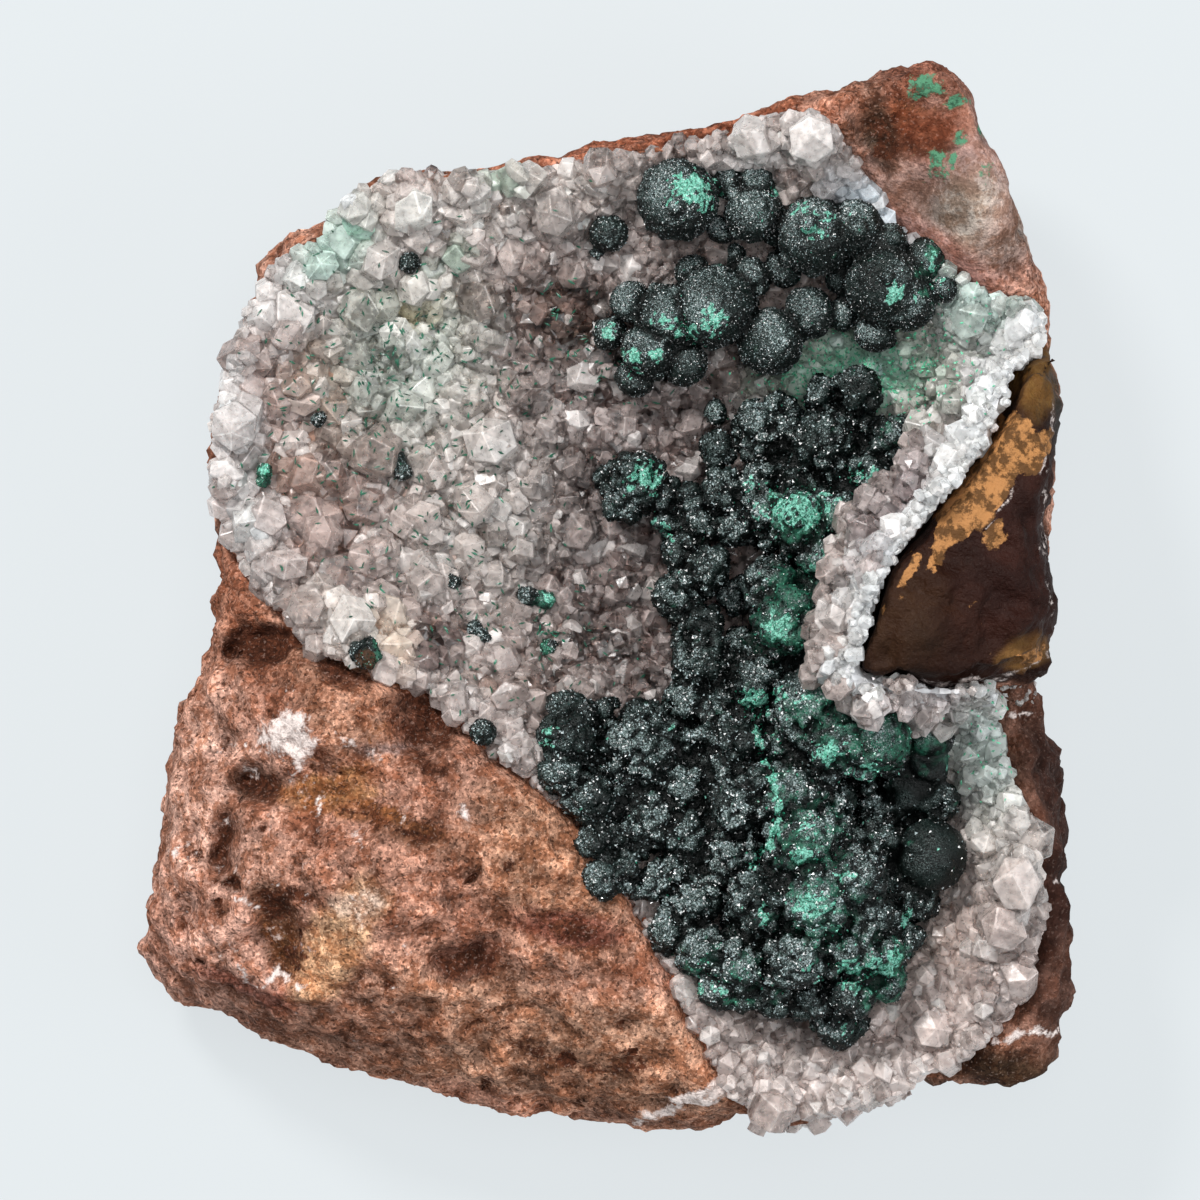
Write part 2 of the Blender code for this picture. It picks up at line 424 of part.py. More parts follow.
def roughen(obj, broad=0.9, medium=0.5):
    """Pushes the rock's surface in and out: most on the broken sides, least under the crust."""
    flat = [(v.co.x / MM, v.co.y / MM) for v in obj.data.vertices]
    bare = 1.0 - 0.85 * smooth_step(signed_distance(flat, CRUST_OUTLINE), -1.0, 2.0)
    normals = [v.normal.copy() for v in obj.data.vertices]
    for vertex, normal, share in zip(obj.data.vertices, normals, bare):
        place = vertex.co / MM
        turned = Vector((place.x, place.y, place.z * 1.6))
        swell = noise.fractal(turned / 17.0, 0.9, 2.1, 3)
        chip = noise.ridged_multi_fractal(turned / 9.0 + Vector((7.1, 3.3, 5.9)), 0.9, 2.2, 3, 0.8, 1.6) - 1.1
        on_side = 1.0 - abs(normal.z)
        push = broad * swell * (0.35 + 1.1 * on_side) + medium * chip * (0.5 + 0.9 * on_side)
        if normal.z > 0.3:
            push *= share
        vertex.co += normal * push * MM


def flatten_back(obj):
    """Cuts the rock flat at height zero, the broken back that it lies on."""
    made = bmesh.new()
    made.from_mesh(obj.data)
    bmesh.ops.bisect_plane(
        made, geom=made.verts[:] + made.edges[:] + made.faces[:], dist=1e-7,
        plane_co=(0, 0, 0), plane_no=(0, 0, 1), clear_inner=True,
    )
    bmesh.ops.holes_fill(made, edges=[e for e in made.edges if e.is_boundary], sides=0)
    bmesh.ops.triangulate(made, faces=[f for f in made.faces if len(f.verts) > 4])
    bmesh.ops.recalc_face_normals(made, faces=made.faces)
    made.to_mesh(obj.data)
    made.free()


def make_rock(material):
    rock = object_from_mm("matrix_rock", *rock_blank(), material)
    outward(rock)
    add_voxel_remesh(rock, ROCK_VOXEL)
    bake(rock)
    roughen(rock)
    decimate_to(rock, ROCK_FACETS)
    flatten_back(rock)
    return rock


def swollen_copy(obj, name, by):
    """A helper: the object with its faces moved out by that much, to cut a gap into its neighbours."""
    copy = obj.copy()
    copy.data = obj.data.copy()
    copy.name = name
    bpy.context.scene.collection.objects.link(copy)
    copy.hide_render = True
    copy.display_type = "WIRE"
    made = bmesh.new()
    made.from_mesh(copy.data)
    made.normal_update()
    moves = [v.normal * by * MM * min(v.calc_shell_factor(), 1.8) for v in made.verts]
    for vertex, move in zip(made.verts, moves):
        vertex.co += move
    made.to_mesh(copy.data)
    made.free()
    return copy


def clear_of_malachite(x, y, reach):
    return bool((np.hypot(ALL_BALLS[:, 0] - x, ALL_BALLS[:, 1] - y) > ALL_BALLS[:, 2] + reach).all())


def random_places(chance, outline, count):
    """Places spread evenly over the box round an outline, and how far inside the outline each one is."""
    low, high = np.array(outline).min(0), np.array(outline).max(0)
    places = np.array([[chance.uniform(*ends) for ends in zip(low, high)] for _ in range(count)])
    return places, signed_distance(places, outline)


def filling_balls(chance):
    """Small balls that close the mass between its hand-placed lumps, a little lower than they are."""
    lumps = np.array(MAIN_LUMPS)
    places, inside = random_places(chance, MASS_OUTLINE, FILLING_TRIES)
    slot = np.linspace(*SLOT, 8)
    balls = []
    for x, y in places[inside > 1.5]:
        apart = np.hypot(lumps[:, 0] - x, lumps[:, 1] - y)
        in_slot = np.hypot(slot[:, 0] - x, slot[:, 1] - y).min() < SLOT_HALF_WIDTH + FILLING_RADIUS[0]
        crowded = any(math.hypot(x - b[0], y - b[1]) < FILLING_SPACING for b in balls)
        if in_slot or crowded or (apart < 0.65 * lumps[:, 2]).any():
            continue
        weight = 1.0 / (apart + 0.5) ** 3
        top = (lumps[:, 3] * weight).sum() / weight.sum() - chance.uniform(*FILLING_DROP)
        balls.append((x, y, chance.uniform(*FILLING_RADIUS), top))
    return balls


def crystal_sites(chance):
    """Places of the druse's tips, as (x, y, radius, rise): the large ones, then small ones between them."""
    sites = [tip for tip in LARGE_TIPS if clear_of_malachite(tip[0], tip[1], 0.6)]
    places, inside = random_places(chance, CRUST_OUTLINE, TIP_TRIES)
    off_the_cliff = np.abs(signed_distance(places, BLOCK_OUTLINE)) > 1.0
    off_the_mass = signed_distance(places, MASS_OUTLINE) < -0.5
    for x, y in places[(inside > 1.1) & off_the_cliff & off_the_mass]:
        radius = chance.uniform(*TIP_RADIUS) + COARSE_EXTRA * (x < COARSE_SIDE_X)
        if not clear_of_malachite(x, y, 0.9):
            continue
        if all(math.hypot(x - s[0], y - s[1]) > (radius + s[2]) * 0.98 for s in sites):
            sites.append((x, y, radius, chance.uniform(*TIP_RISE)))
    return sites


def floor_places(chance, rim):
    """Places on the crust's floor under the malachite, where no tip stands."""
    (x_low, y_low), (x_high, y_high) = rim.min(0), rim.max(0)
    places = []
    for x in np.arange(x_low, x_high, FLOOR_SPACING):
        for y in np.arange(y_low, y_high, FLOOR_SPACING):
            if signed_distance([(x, y)], CRUST_OUTLINE)[0] > 1.5 and not clear_of_malachite(x, y, 0.6):
                places.append((x + chance.uniform(-0.5, 0.5), y + chance.uniform(-0.5, 0.5)))
    return places


def triangulated(outline, inner):
    """Triangles inside an outline over all the inner points, as (points, triangles, the points' sources)."""
    places = [Vector(p) for p in outline] + [Vector(p) for p in inner]
    found = delaunay_2d_cdt(places, [], [list(range(len(outline)))], 1, 1e-6)
    return [tuple(v) for v in found[0]], [tuple(f) for f in found[2]], found[3]


def offset_points(outline, by):
    """Points of an open line moved sideways, to the left of its direction when by is positive."""
    line = np.array(outline, float)
    direction = np.gradient(line, axis=0)
    direction /= np.hypot(direction[:, 0], direction[:, 1])[:, None]
    return line + by * np.c_[-direction[:, 1], direction[:, 0]]


def crust_sheet(sites, chance):
    """The crust as points and faces: tips over a floor on top, and a plain underside that sinks in the rock.

    A valley point between each three neighbouring tips makes every tip a pyramid of about six faces.
    """
    rim = along_outline(CRUST_OUTLINE, RIM_CORNERS)
    apexes = [(x, y) for x, y, _, _ in sites]
    is_apex = range(len(rim), len(rim) + len(apexes))
    floor = floor_places(chance, rim)
    cliff = [tuple(p) for by in (-0.9, 0.9) for p in offset_points(BLOCK_OUTLINE[2:17], by)]
    cliff = [p for p in cliff if signed_distance([p], CRUST_OUTLINE)[0] > 0.5]
    flat, triangles, _ = triangulated(rim.tolist(), apexes + floor + cliff)
    valleys = [
        tuple(np.mean([flat[corner] for corner in triangle], axis=0)) for triangle in triangles
        if sum(corner in is_apex for corner in triangle) >= 2
    ]
    flat, triangles, came_from = triangulated(rim.tolist(), apexes + floor + cliff + valleys)
    top = crust_top(flat)
    for index, sources in enumerate(came_from):
        for source in sources:
            if source in is_apex:
                _, _, radius, rise = sites[source - len(rim)]
                top[index] += rise + TIP_STEEPNESS * radius
    under, under_triangles, _ = triangulated(rim.tolist(), floor[::3])
    bottom = FLOOR.at(under) - CRUST_THICKNESS - SUNK_IN_ROCK
    points = [(x, y, z) for (x, y), z in zip(flat, top)] + [(x, y, z) for (x, y), z in zip(under, bottom)]
    count = len(flat)
    faces = list(triangles) + [(c + count, b + count, a + count) for a, b, c in under_triangles]
    for corner in range(len(rim)):
        after = (corner + 1) % len(rim)
        faces.append((corner, after, after + count, corner + count))
    return points, faces


def quartz_crystal(foot, direction, radius, length, turn):
    """Points and faces of one crystal: a six-sided prism that sinks in the crust, with a six-sided tip."""
    to_axis = direction.to_track_quat("Z", "Y").to_matrix().to_4x4()
    place = Matrix.Translation(foot) @ to_axis @ Matrix.Rotation(turn, 4, "Z")
    corners = [(math.cos(math.radians(60 * k)), math.sin(math.radians(60 * k))) for k in range(6)]
    shoulder = length - radius * 1.15
    points = [place @ Vector((radius * x, radius * y, -length * 0.45)) for x, y in corners]
    points += [place @ Vector((radius * x, radius * y, shoulder)) for x, y in corners]
    points.append(place @ Vector((radius * 0.12, radius * 0.08, length)))
    faces = [(0, 5, 4, 3, 2, 1)]
    for k in range(6):
        after = (k + 1) % 6
        faces.append((k, after, after + 6, k + 6))
        faces.append((k + 6, after + 6, 12))
    return points, faces


def wall_crystals(chance):
    """Crystals that point out of the block's wall, as (foot, direction, radius, length, turn)."""
    edge = np.array(WALL_EDGE)
    outward_way = edge[:, :2] - offset_points(edge[:, :2], 1.0)
    crystals = []
    for row in range(WALL_ROWS):
        for step in range(WALL_CRYSTALS_ALONG):
            share_along = (step + 0.5 * row + chance.uniform(-0.15, 0.15)) / WALL_CRYSTALS_ALONG
            at = min(max(share_along, 0.0), 0.999) * (len(edge) - 1)
            first, share = int(at), at % 1.0
            foot = Vector(edge[first] * (1 - share) + edge[first + 1] * share)
            foot.z -= 1.6 + WALL_ROW_DROP * row
            out = Vector((*(outward_way[first] * (1 - share) + outward_way[first + 1] * share), 0.0))
            lean = Vector((chance.uniform(-0.4, 0.4), chance.uniform(-0.4, 0.4), 0.35 - 0.5 * row))
            radius, length = chance.uniform(*WALL_CRYSTAL_RADIUS), chance.uniform(*WALL_CRYSTAL_LENGTH)
            crystals.append((foot, out.normalized() + lean, radius, length, chance.uniform(0, 1)))
    return crystals


def crystal_group(name, crystals, grow=0.0):
    """A helper that holds all the crystals of a list, each one fatter by that much all round."""
    points, faces = [], []
    for foot, direction, radius, length, turn in crystals:
        fat, long = radius + 1.15 * grow, length + 1.7 * grow
        more_points, more_faces = quartz_crystal(foot, direction, fat, long, turn)
        faces += [tuple(corner + len(points) for corner in face) for face in more_faces]
        points += more_points
    group = object_from_mm(name, points, faces, helper=True)
    outward(group)
    return group


def make_crust(material, rock_clearance):
    """The crust, and the helper that cuts the malachite's seat: the crust moved out by the gap."""
    chance = random.Random(SEED)
    points, faces = crust_sheet(crystal_sites(chance), chance)
    crust = object_from_mm("quartz_crust", points, faces, material)
    outward(crust)
    seat = swollen_copy(crust, "malachite_seat", FIT_GAP)
    crystals = wall_crystals(chance)
    for sheet, grow in ((crust, 0.0), (seat, FIT_GAP)):
        group = crystal_group(sheet.name + "_wall_crystals", crystals, grow)
        add_boolean(sheet, group, "UNION", self_touching=True)
        bake(sheet)
        bpy.data.objects.remove(group)
    add_boolean(crust, rock_clearance, "DIFFERENCE")
    bake(crust)
    return crust, seat


def ball_on_stalk(made, ball):
    """Adds one ball, with a stalk under it that reaches into the crust, to a bmesh."""
    x, y, radius, top = ball
    centre = Matrix.Translation(Vector((x, y, top - radius)) * MM)
    bmesh.ops.create_icosphere(made, subdivisions=3 if radius > 2.4 else 2, radius=radius * MM, matrix=centre)
    foot = float(crust_top([(x, y)])[0]) - STALK_DEPTH
    height = top - radius - foot
    if height > 0.3 * radius:
        bmesh.ops.create_cone(
            made, cap_ends=True, segments=10, radius1=radius * 0.8 * MM, radius2=radius * 0.9 * MM,
            depth=height * MM, matrix=Matrix.Translation(Vector((x, y, foot + height / 2)) * MM),
        )


def make_malachite(name, balls, material, facets, cutters):
    """Balls and stalks melted into one body, cut down to facets and cut to fit what it grew on."""
    mesh = bpy.data.meshes.new(name)
    made = bmesh.new()
    for ball in balls:
        ball_on_stalk(made, ball)
    made.to_mesh(mesh)
    made.free()
    mesh.materials.append(material)
    malachite = bpy.data.objects.new(name, mesh)
    bpy.context.scene.collection.objects.link(malachite)
    smallest = min(ball[2] for ball in balls)
    add_voxel_remesh(malachite, min(MALACHITE_VOXEL, smallest * 0.25))
    bake(malachite)
    decimate_to(malachite, facets)
    for cutter in cutters:
        add_boolean(malachite, cutter, "DIFFERENCE")
    bake(malachite)
    return malachite


def keep_largest_body(obj):
    """Drops the crumbs that a cut leaves beside the main body."""
    made = bmesh.new()
    made.from_mesh(obj.data)
    bmesh.ops.split_edges(made, edges=[e for e in made.edges if len(e.link_faces) > 2])
    left, bodies = set(made.faces), []
    while left:
        body, to_visit = set(), [left.pop()]
        while to_visit:
            face = to_visit.pop()
            body.add(face)
            for other in (f for e in face.edges for f in e.link_faces):
                if other in left:
                    left.discard(other)
                    to_visit.append(other)
        bodies.append(body)
    biggest = max(bodies, key=len)
    for body in bodies:
        if body is not biggest:
            middle = sum((f.calc_center_median() for f in body), Vector()) / len(body) / MM
            print(obj.name, "dropped a crumb of", len(body), "faces at", [round(c, 1) for c in middle])
    bmesh.ops.delete(made, geom=[f for f in made.faces if f not in biggest], context="FACES")
    made.to_mesh(obj.data)
    made.free()


def centre_on_footprint(objects):
    """Moves everything together so that the middle of the footprint is the origin."""
    corners = [v.co for obj in objects for v in obj.data.vertices]
    middle_x = (min(c.x for c in corners) + max(c.x for c in corners)) / 2
    middle_y = (min(c.y for c in corners) + max(c.y for c in corners)) / 2
    lowest = min(c.z for c in corners)
    for obj in bpy.data.objects:
        obj.data.transform(Matrix.Translation((-middle_x, -middle_y, -lowest)))
    print("moved by", [round(c / MM, 3) for c in (-middle_x, -middle_y, -lowest)], "mm")


def build():
    clear_scene()
    rock_brown = rock_or_gem_material("host_rock_brown", (0.27, 0.13, 0.085), 0.85)
    quartz_milky = rock_or_gem_material("quartz_milky", (0.80, 0.75, 0.74), 0.2, transmission=0.3)
    malachite_green = rock_or_gem_material("malachite_dark_green", (0.02, 0.09, 0.07), 0.4)

    rock = make_rock(rock_brown)
    rock_clearance = swollen_copy(rock, "rock_clearance", FIT_GAP)
    crust, seat = make_crust(quartz_milky, rock_clearance)
    masses = {
        "malachite_upper_cluster": (UPPER_BALLS, UPPER_CLUSTER_FACETS),
        "malachite_main_mass": (MAIN_LUMPS + filling_balls(random.Random(SEED)), MAIN_MASS_FACETS),
    }
    for label, beads in LONE_BEADS.items():
        balls = [(x, y, radius, float(crust_top([(x, y)])[0]) + rise) for x, y, radius, rise in beads]
        masses["malachite_" + label] = (balls, BEAD_FACETS + BEAD_FACETS_EACH * len(beads))
    pieces = [rock, crust]
    for name, (balls, facets) in masses.items():
        pieces.append(make_malachite(name, balls, malachite_green, facets, [seat, rock_clearance]))
    for piece in pieces:
        keep_largest_body(piece)
        print(piece.name, sum(len(p.vertices) - 2 for p in piece.data.polygons), "triangles")
    centre_on_footprint(pieces)
    bpy.data.objects.remove(seat)
    bpy.data.objects.remove(rock_clearance)


build()
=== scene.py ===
# %% [markdown]
# # Malachite on quartz, dressed
#
# A loose mineral specimen lies on its broken back: red-brown host rock with an open hollow, a crust of
# quartz points that lines the hollow, and dark green malachite that grew on the quartz as balls.
# The solids of the three are already made and packed. This lesson gives them the surfaces that the eye
# looks for: grains in the rock, hundreds of separate crystals, and a salt of tiny glints on the malachite.

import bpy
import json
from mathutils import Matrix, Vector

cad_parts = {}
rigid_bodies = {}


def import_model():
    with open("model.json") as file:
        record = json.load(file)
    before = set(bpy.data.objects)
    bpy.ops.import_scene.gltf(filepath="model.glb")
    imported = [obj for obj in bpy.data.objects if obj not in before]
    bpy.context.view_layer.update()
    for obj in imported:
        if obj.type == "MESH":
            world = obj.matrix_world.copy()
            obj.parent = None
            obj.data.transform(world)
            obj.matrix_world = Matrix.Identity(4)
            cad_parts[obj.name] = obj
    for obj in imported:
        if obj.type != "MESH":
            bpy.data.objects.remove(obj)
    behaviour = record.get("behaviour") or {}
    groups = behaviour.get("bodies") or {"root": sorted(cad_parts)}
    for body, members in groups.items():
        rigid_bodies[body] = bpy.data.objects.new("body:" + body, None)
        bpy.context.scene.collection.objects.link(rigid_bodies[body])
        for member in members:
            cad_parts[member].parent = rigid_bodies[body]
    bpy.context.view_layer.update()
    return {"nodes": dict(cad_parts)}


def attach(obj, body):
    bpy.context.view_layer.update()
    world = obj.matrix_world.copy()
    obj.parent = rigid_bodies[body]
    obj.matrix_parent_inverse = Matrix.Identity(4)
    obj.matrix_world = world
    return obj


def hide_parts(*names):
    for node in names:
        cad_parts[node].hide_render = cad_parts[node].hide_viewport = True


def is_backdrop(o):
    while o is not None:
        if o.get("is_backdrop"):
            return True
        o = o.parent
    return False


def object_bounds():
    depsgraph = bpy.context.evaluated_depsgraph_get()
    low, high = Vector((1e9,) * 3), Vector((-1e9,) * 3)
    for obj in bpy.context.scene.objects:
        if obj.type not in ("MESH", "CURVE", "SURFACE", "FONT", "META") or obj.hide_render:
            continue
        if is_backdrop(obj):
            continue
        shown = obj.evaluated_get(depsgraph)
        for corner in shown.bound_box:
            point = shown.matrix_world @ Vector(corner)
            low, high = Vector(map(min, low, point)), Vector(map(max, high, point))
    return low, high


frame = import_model()

# %% [markdown]
# Everything below is laid out in millimetres, because the grains of a mineral are easier to think of as
# 0.3 mm than as 0.0003 m. Lengths are turned into metres where a mesh is made. The middle of the display
# face is a little off the origin, which is the centre of the footprint, so places are shifted by CENTRE.

# Every choice by chance starts from the same seed, so that each run gives the same specimen.

# %% Units and the libraries
import json
import math

import bmesh
import bpy
import numpy as np
from mathutils import Vector, noise
from mathutils.bvhtree import BVHTree
from mathutils.kdtree import KDTree

MM = 0.001
CENTRE = np.array([-0.654, 0.005])
SEED = 7
noise.seed_set(SEED)

# %% [markdown]
# A few small helpers keep the later steps short. An operator acts on whatever is selected, so `only`
# deselects everything first. `modify` adds a modifier with its settings and applies it at once, which is
# what a modeller does when a shape is settled and its modifier has nothing more to say.

# %% Helpers for selecting and applying
def only(piece):
    """Selects that piece and nothing else."""
    bpy.ops.object.select_all(action="DESELECT")
    piece.select_set(True)
    bpy.context.view_layer.objects.active = piece


def modify(piece, kind, **settings):
    """Adds a modifier with those settings and applies it."""
    only(piece)
    modifier = piece.modifiers.new(kind.title(), kind)
    for name, value in settings.items():
        setattr(modifier, name, value)
    bpy.ops.object.modifier_apply(modifier=modifier.name)


def triangles(piece):
    return sum(len(polygon.vertices) - 2 for polygon in piece.data.polygons)


def copy_of_node(node, name):
    """A piece that starts as a copy of a CAD node, its loose triangles merged into one skin."""
    piece = bpy.data.objects.new(name, frame["nodes"][node].data.copy())
    bpy.context.scene.collection.objects.link(piece)
    only(piece)
    bpy.ops.object.mode_set(mode="EDIT")
    bpy.ops.mesh.select_all(action="SELECT")
    bpy.ops.mesh.remove_doubles(threshold=0.000001)
    bpy.ops.object.mode_set(mode="OBJECT")
    return piece


def clothe(piece, material):
    """Gives a piece one material in place of those it came with."""
    piece.data.materials.clear()
    piece.data.materials.append(material)


def finished(piece, slot, *nodes):
    """Hands a finished piece over: it rides on the specimen and stands for those CAD nodes."""
    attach(piece, "root")
    if nodes:
        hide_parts(*nodes)
    print(piece.name, triangles(piece), "triangles")


# %% [markdown]
# Many steps need numbers for a whole mesh at once, such as how close each point of the rock is to the
# quartz. Arrays are quicker for that than loops, so points are read and written as arrays in millimetres.

# %% Helpers for reading and writing points
def points_of(piece):
    flat = np.empty(len(piece.data.vertices) * 3, np.float32)
    piece.data.vertices.foreach_get("co", flat)
    return flat.reshape(-1, 3).astype(float) / MM


def normals_of(piece):
    flat = np.empty(len(piece.data.vertices) * 3, np.float32)
    piece.data.vertices.foreach_get("normal", flat)
    return flat.reshape(-1, 3).astype(float)


def set_points(piece, points):
    piece.data.vertices.foreach_set("co", (points * MM).astype(np.float32).ravel())
    piece.data.update()


def give_attribute(piece, name, values, domain="POINT"):
    """Writes a number, or a colour, for each point or face, which a material can read by its name."""
    values = np.asarray(values, np.float32)
    if values.ndim == 1:
        piece.data.attributes.new(name, "FLOAT", domain).data.foreach_set("value", values)
        return
    colours = np.c_[values, np.ones(len(values))].astype(np.float32)
    piece.data.attributes.new(name, "FLOAT_COLOR", domain).data.foreach_set("color", colours.ravel())


def give_group(piece, name, weights, levels=20):
    """A vertex group whose weights are rounded to a few levels, so that each level is one quick call."""
    group = piece.vertex_groups.new(name=name)
    rounded = np.round(np.asarray(weights) * levels).astype(int)
    for level in range(1, levels + 1):
        group.add(np.nonzero(rounded == level)[0].tolist(), level / levels, "REPLACE")


def tree_of(*nodes):
    """A search tree over the faces of CAD nodes or pieces, in millimetres."""
    corners, faces = [], []
    for piece in nodes:
        start = len(corners)
        corners += [tuple(p) for p in points_of(piece)]
        faces += [tuple(start + v for v in polygon.vertices) for polygon in piece.data.polygons]
    return BVHTree.FromPolygons(corners, faces)


def distance_to(tree, points, reach=6.0):
    """How far each point is from the nearest face of a tree, up to a reach."""
    found = (tree.find_nearest(Vector(p), reach)[3] for p in points)
    return np.array([reach if d is None else d for d in found])


def speckle(points, size, seed=0):
    """A soft noise between about -1 and 1 at each point, with features of that size."""
    start = Vector((seed * 7.3, seed * 3.9, seed * 11.1))
    return np.array([noise.noise(Vector(p) / size + start) for p in points])


def standing_out(piece, rounds):
    """How far each point stands out from its smoothed surroundings, in mm; negative in a crease."""
    count = len(piece.data.vertices)
    edges = np.empty(len(piece.data.edges) * 2, np.int32)
    piece.data.edges.foreach_get("vertices", edges)
    a, b = edges.reshape(-1, 2).T
    shared = np.bincount(a, minlength=count) + np.bincount(b, minlength=count)
    points = points_of(piece)
    soft = points.copy()
    for _ in range(rounds):
        total = [np.bincount(a, soft[b, k], count) + np.bincount(b, soft[a, k], count) for k in range(3)]
        soft = np.stack(total, axis=1) / np.maximum(shared, 1)[:, None]
    return ((points - soft) * normals_of(piece)).sum(axis=1)


def smooth_step(value, low, high):
    share = np.clip((np.asarray(value, float) - low) / (high - low), 0.0, 1.0)
    return share * share * (3.0 - 2.0 * share)


def signed_distance(places, outline):
    """Distance of each (x, y) to a closed outline, positive inside it."""
    nearest, inside = np.full(len(places), np.inf), np.zeros(len(places), bool)
    for (ax, ay), (bx, by) in zip(outline, outline[1:] + outline[:1]):
        to_x, to_y, dx, dy = places[:, 0] - ax, places[:, 1] - ay, bx - ax, by - ay
        along = np.clip((to_x * dx + to_y * dy) / (dx * dx + dy * dy), 0.0, 1.0)
        nearest = np.minimum(nearest, np.hypot(to_x - along * dx, to_y - along * dy))
        if dy:
            crosses = (ay > places[:, 1]) != (by > places[:, 1])
            inside ^= crosses & (to_x < dx * to_y / dy)
    return np.where(inside, nearest, -nearest)


# %% [markdown]
# Natural stains have ragged edges. Each stain is one oval dab of a brush, and the points that it is
# painted on are first pushed about by a soft noise, which frays the oval's edge. This is vertex painting
# done by a rule: the colours stay with the surface, and a dab is one readable line that is easy to move.

# %% Helpers for painting
def rgb(red, green, blue):
    """A colour as the eye names it, from 0 to 255, turned into the linear values that light works with."""
    share = np.array([red, green, blue]) / 255.0
    return np.where(share <= 0.04045, share / 12.92, ((share + 0.055) / 1.055) ** 2.4)


def ragged(points, size, amount, seed=0):
    """The (x, y) of points after a soft noise of that size has pushed them about by up to that amount."""
    start = Vector((seed * 13.7, seed * 5.1, seed * 2.9))
    pushed = np.array([noise.noise_vector(Vector(p) / size + start) for p in points])
    return points[:, :2] - CENTRE + amount * pushed[:, :2]


def frayed(points, size, amount, seed=0):
    """Points pushed about by a finer noise, to fray an edge twice."""
    moved = points.copy()
    moved[:, :2] = ragged(points, size, amount, seed) + CENTRE
    return moved


def dab(places, x, y, wide, high=None, turn=0.0, soft=0.6):
    """How strongly one oval dab of the brush covers each place, from 0 to 1. Turn is in degrees."""
    cos, sin = math.cos(math.radians(turn)), math.sin(math.radians(turn))
    dx, dy = places[:, 0] - x, places[:, 1] - y
    away = np.hypot((cos * dx + sin * dy) / wide, (cos * dy - sin * dx) / (high or wide))
    return 1.0 - smooth_step(away, 1.0 - soft, 1.0 + soft)


def stroke(places, route, width, soft=0.6):
    """How strongly a brush drawn along a route of (x, y) points covers each place."""
    away = np.full(len(places), np.inf)
    for (ax, ay), (bx, by) in zip(route, route[1:]):
        dx, dy = bx - ax, by - ay
        along = ((places[:, 0] - ax) * dx + (places[:, 1] - ay) * dy) / (dx * dx + dy * dy)
        along = np.clip(along, 0.0, 1.0)
        away = np.minimum(away, np.hypot(places[:, 0] - ax - along * dx, places[:, 1] - ay - along * dy))
    return 1.0 - smooth_step(away / width, 1.0 - soft, 1.0 + soft)


def paint(ground, colour, cover):
    """Lays a colour over painted ground, as strongly as it covers each place."""
    return ground + np.clip(cover, 0.0, 1.0)[:, None] * (np.asarray(colour) - ground)


def paint_dabs(ground, places, dabs, share=1.0, wider=1.0, soft=0.6):
    """Paints a list of dabs over painted ground: each is a colour, an oval and its strength."""
    for colour, x, y, wide, high, turn, strength in dabs:
        cover = strength * share * dab(places, x, y, wider * wide, wider * high, turn, soft)
        ground = paint(ground, rgb(*colour), cover)
    return ground


def dabbed(places, dabs, soft=0.6):
    """How strongly a list of ovals with their strengths covers each place, all added up."""
    amount = np.zeros(len(places))
    for x, y, wide, high, turn, strength in dabs:
        amount += strength * dab(places, x, y, wide, high, turn, soft)
    return amount


# %% [markdown]
# Materials are built from nodes. Each helper adds one kind of node and returns its output, so a material
# reads from top to bottom as a recipe. All patterns use Object coordinates: they are fixed to the stone,
# and a pattern's size is given in millimetres.

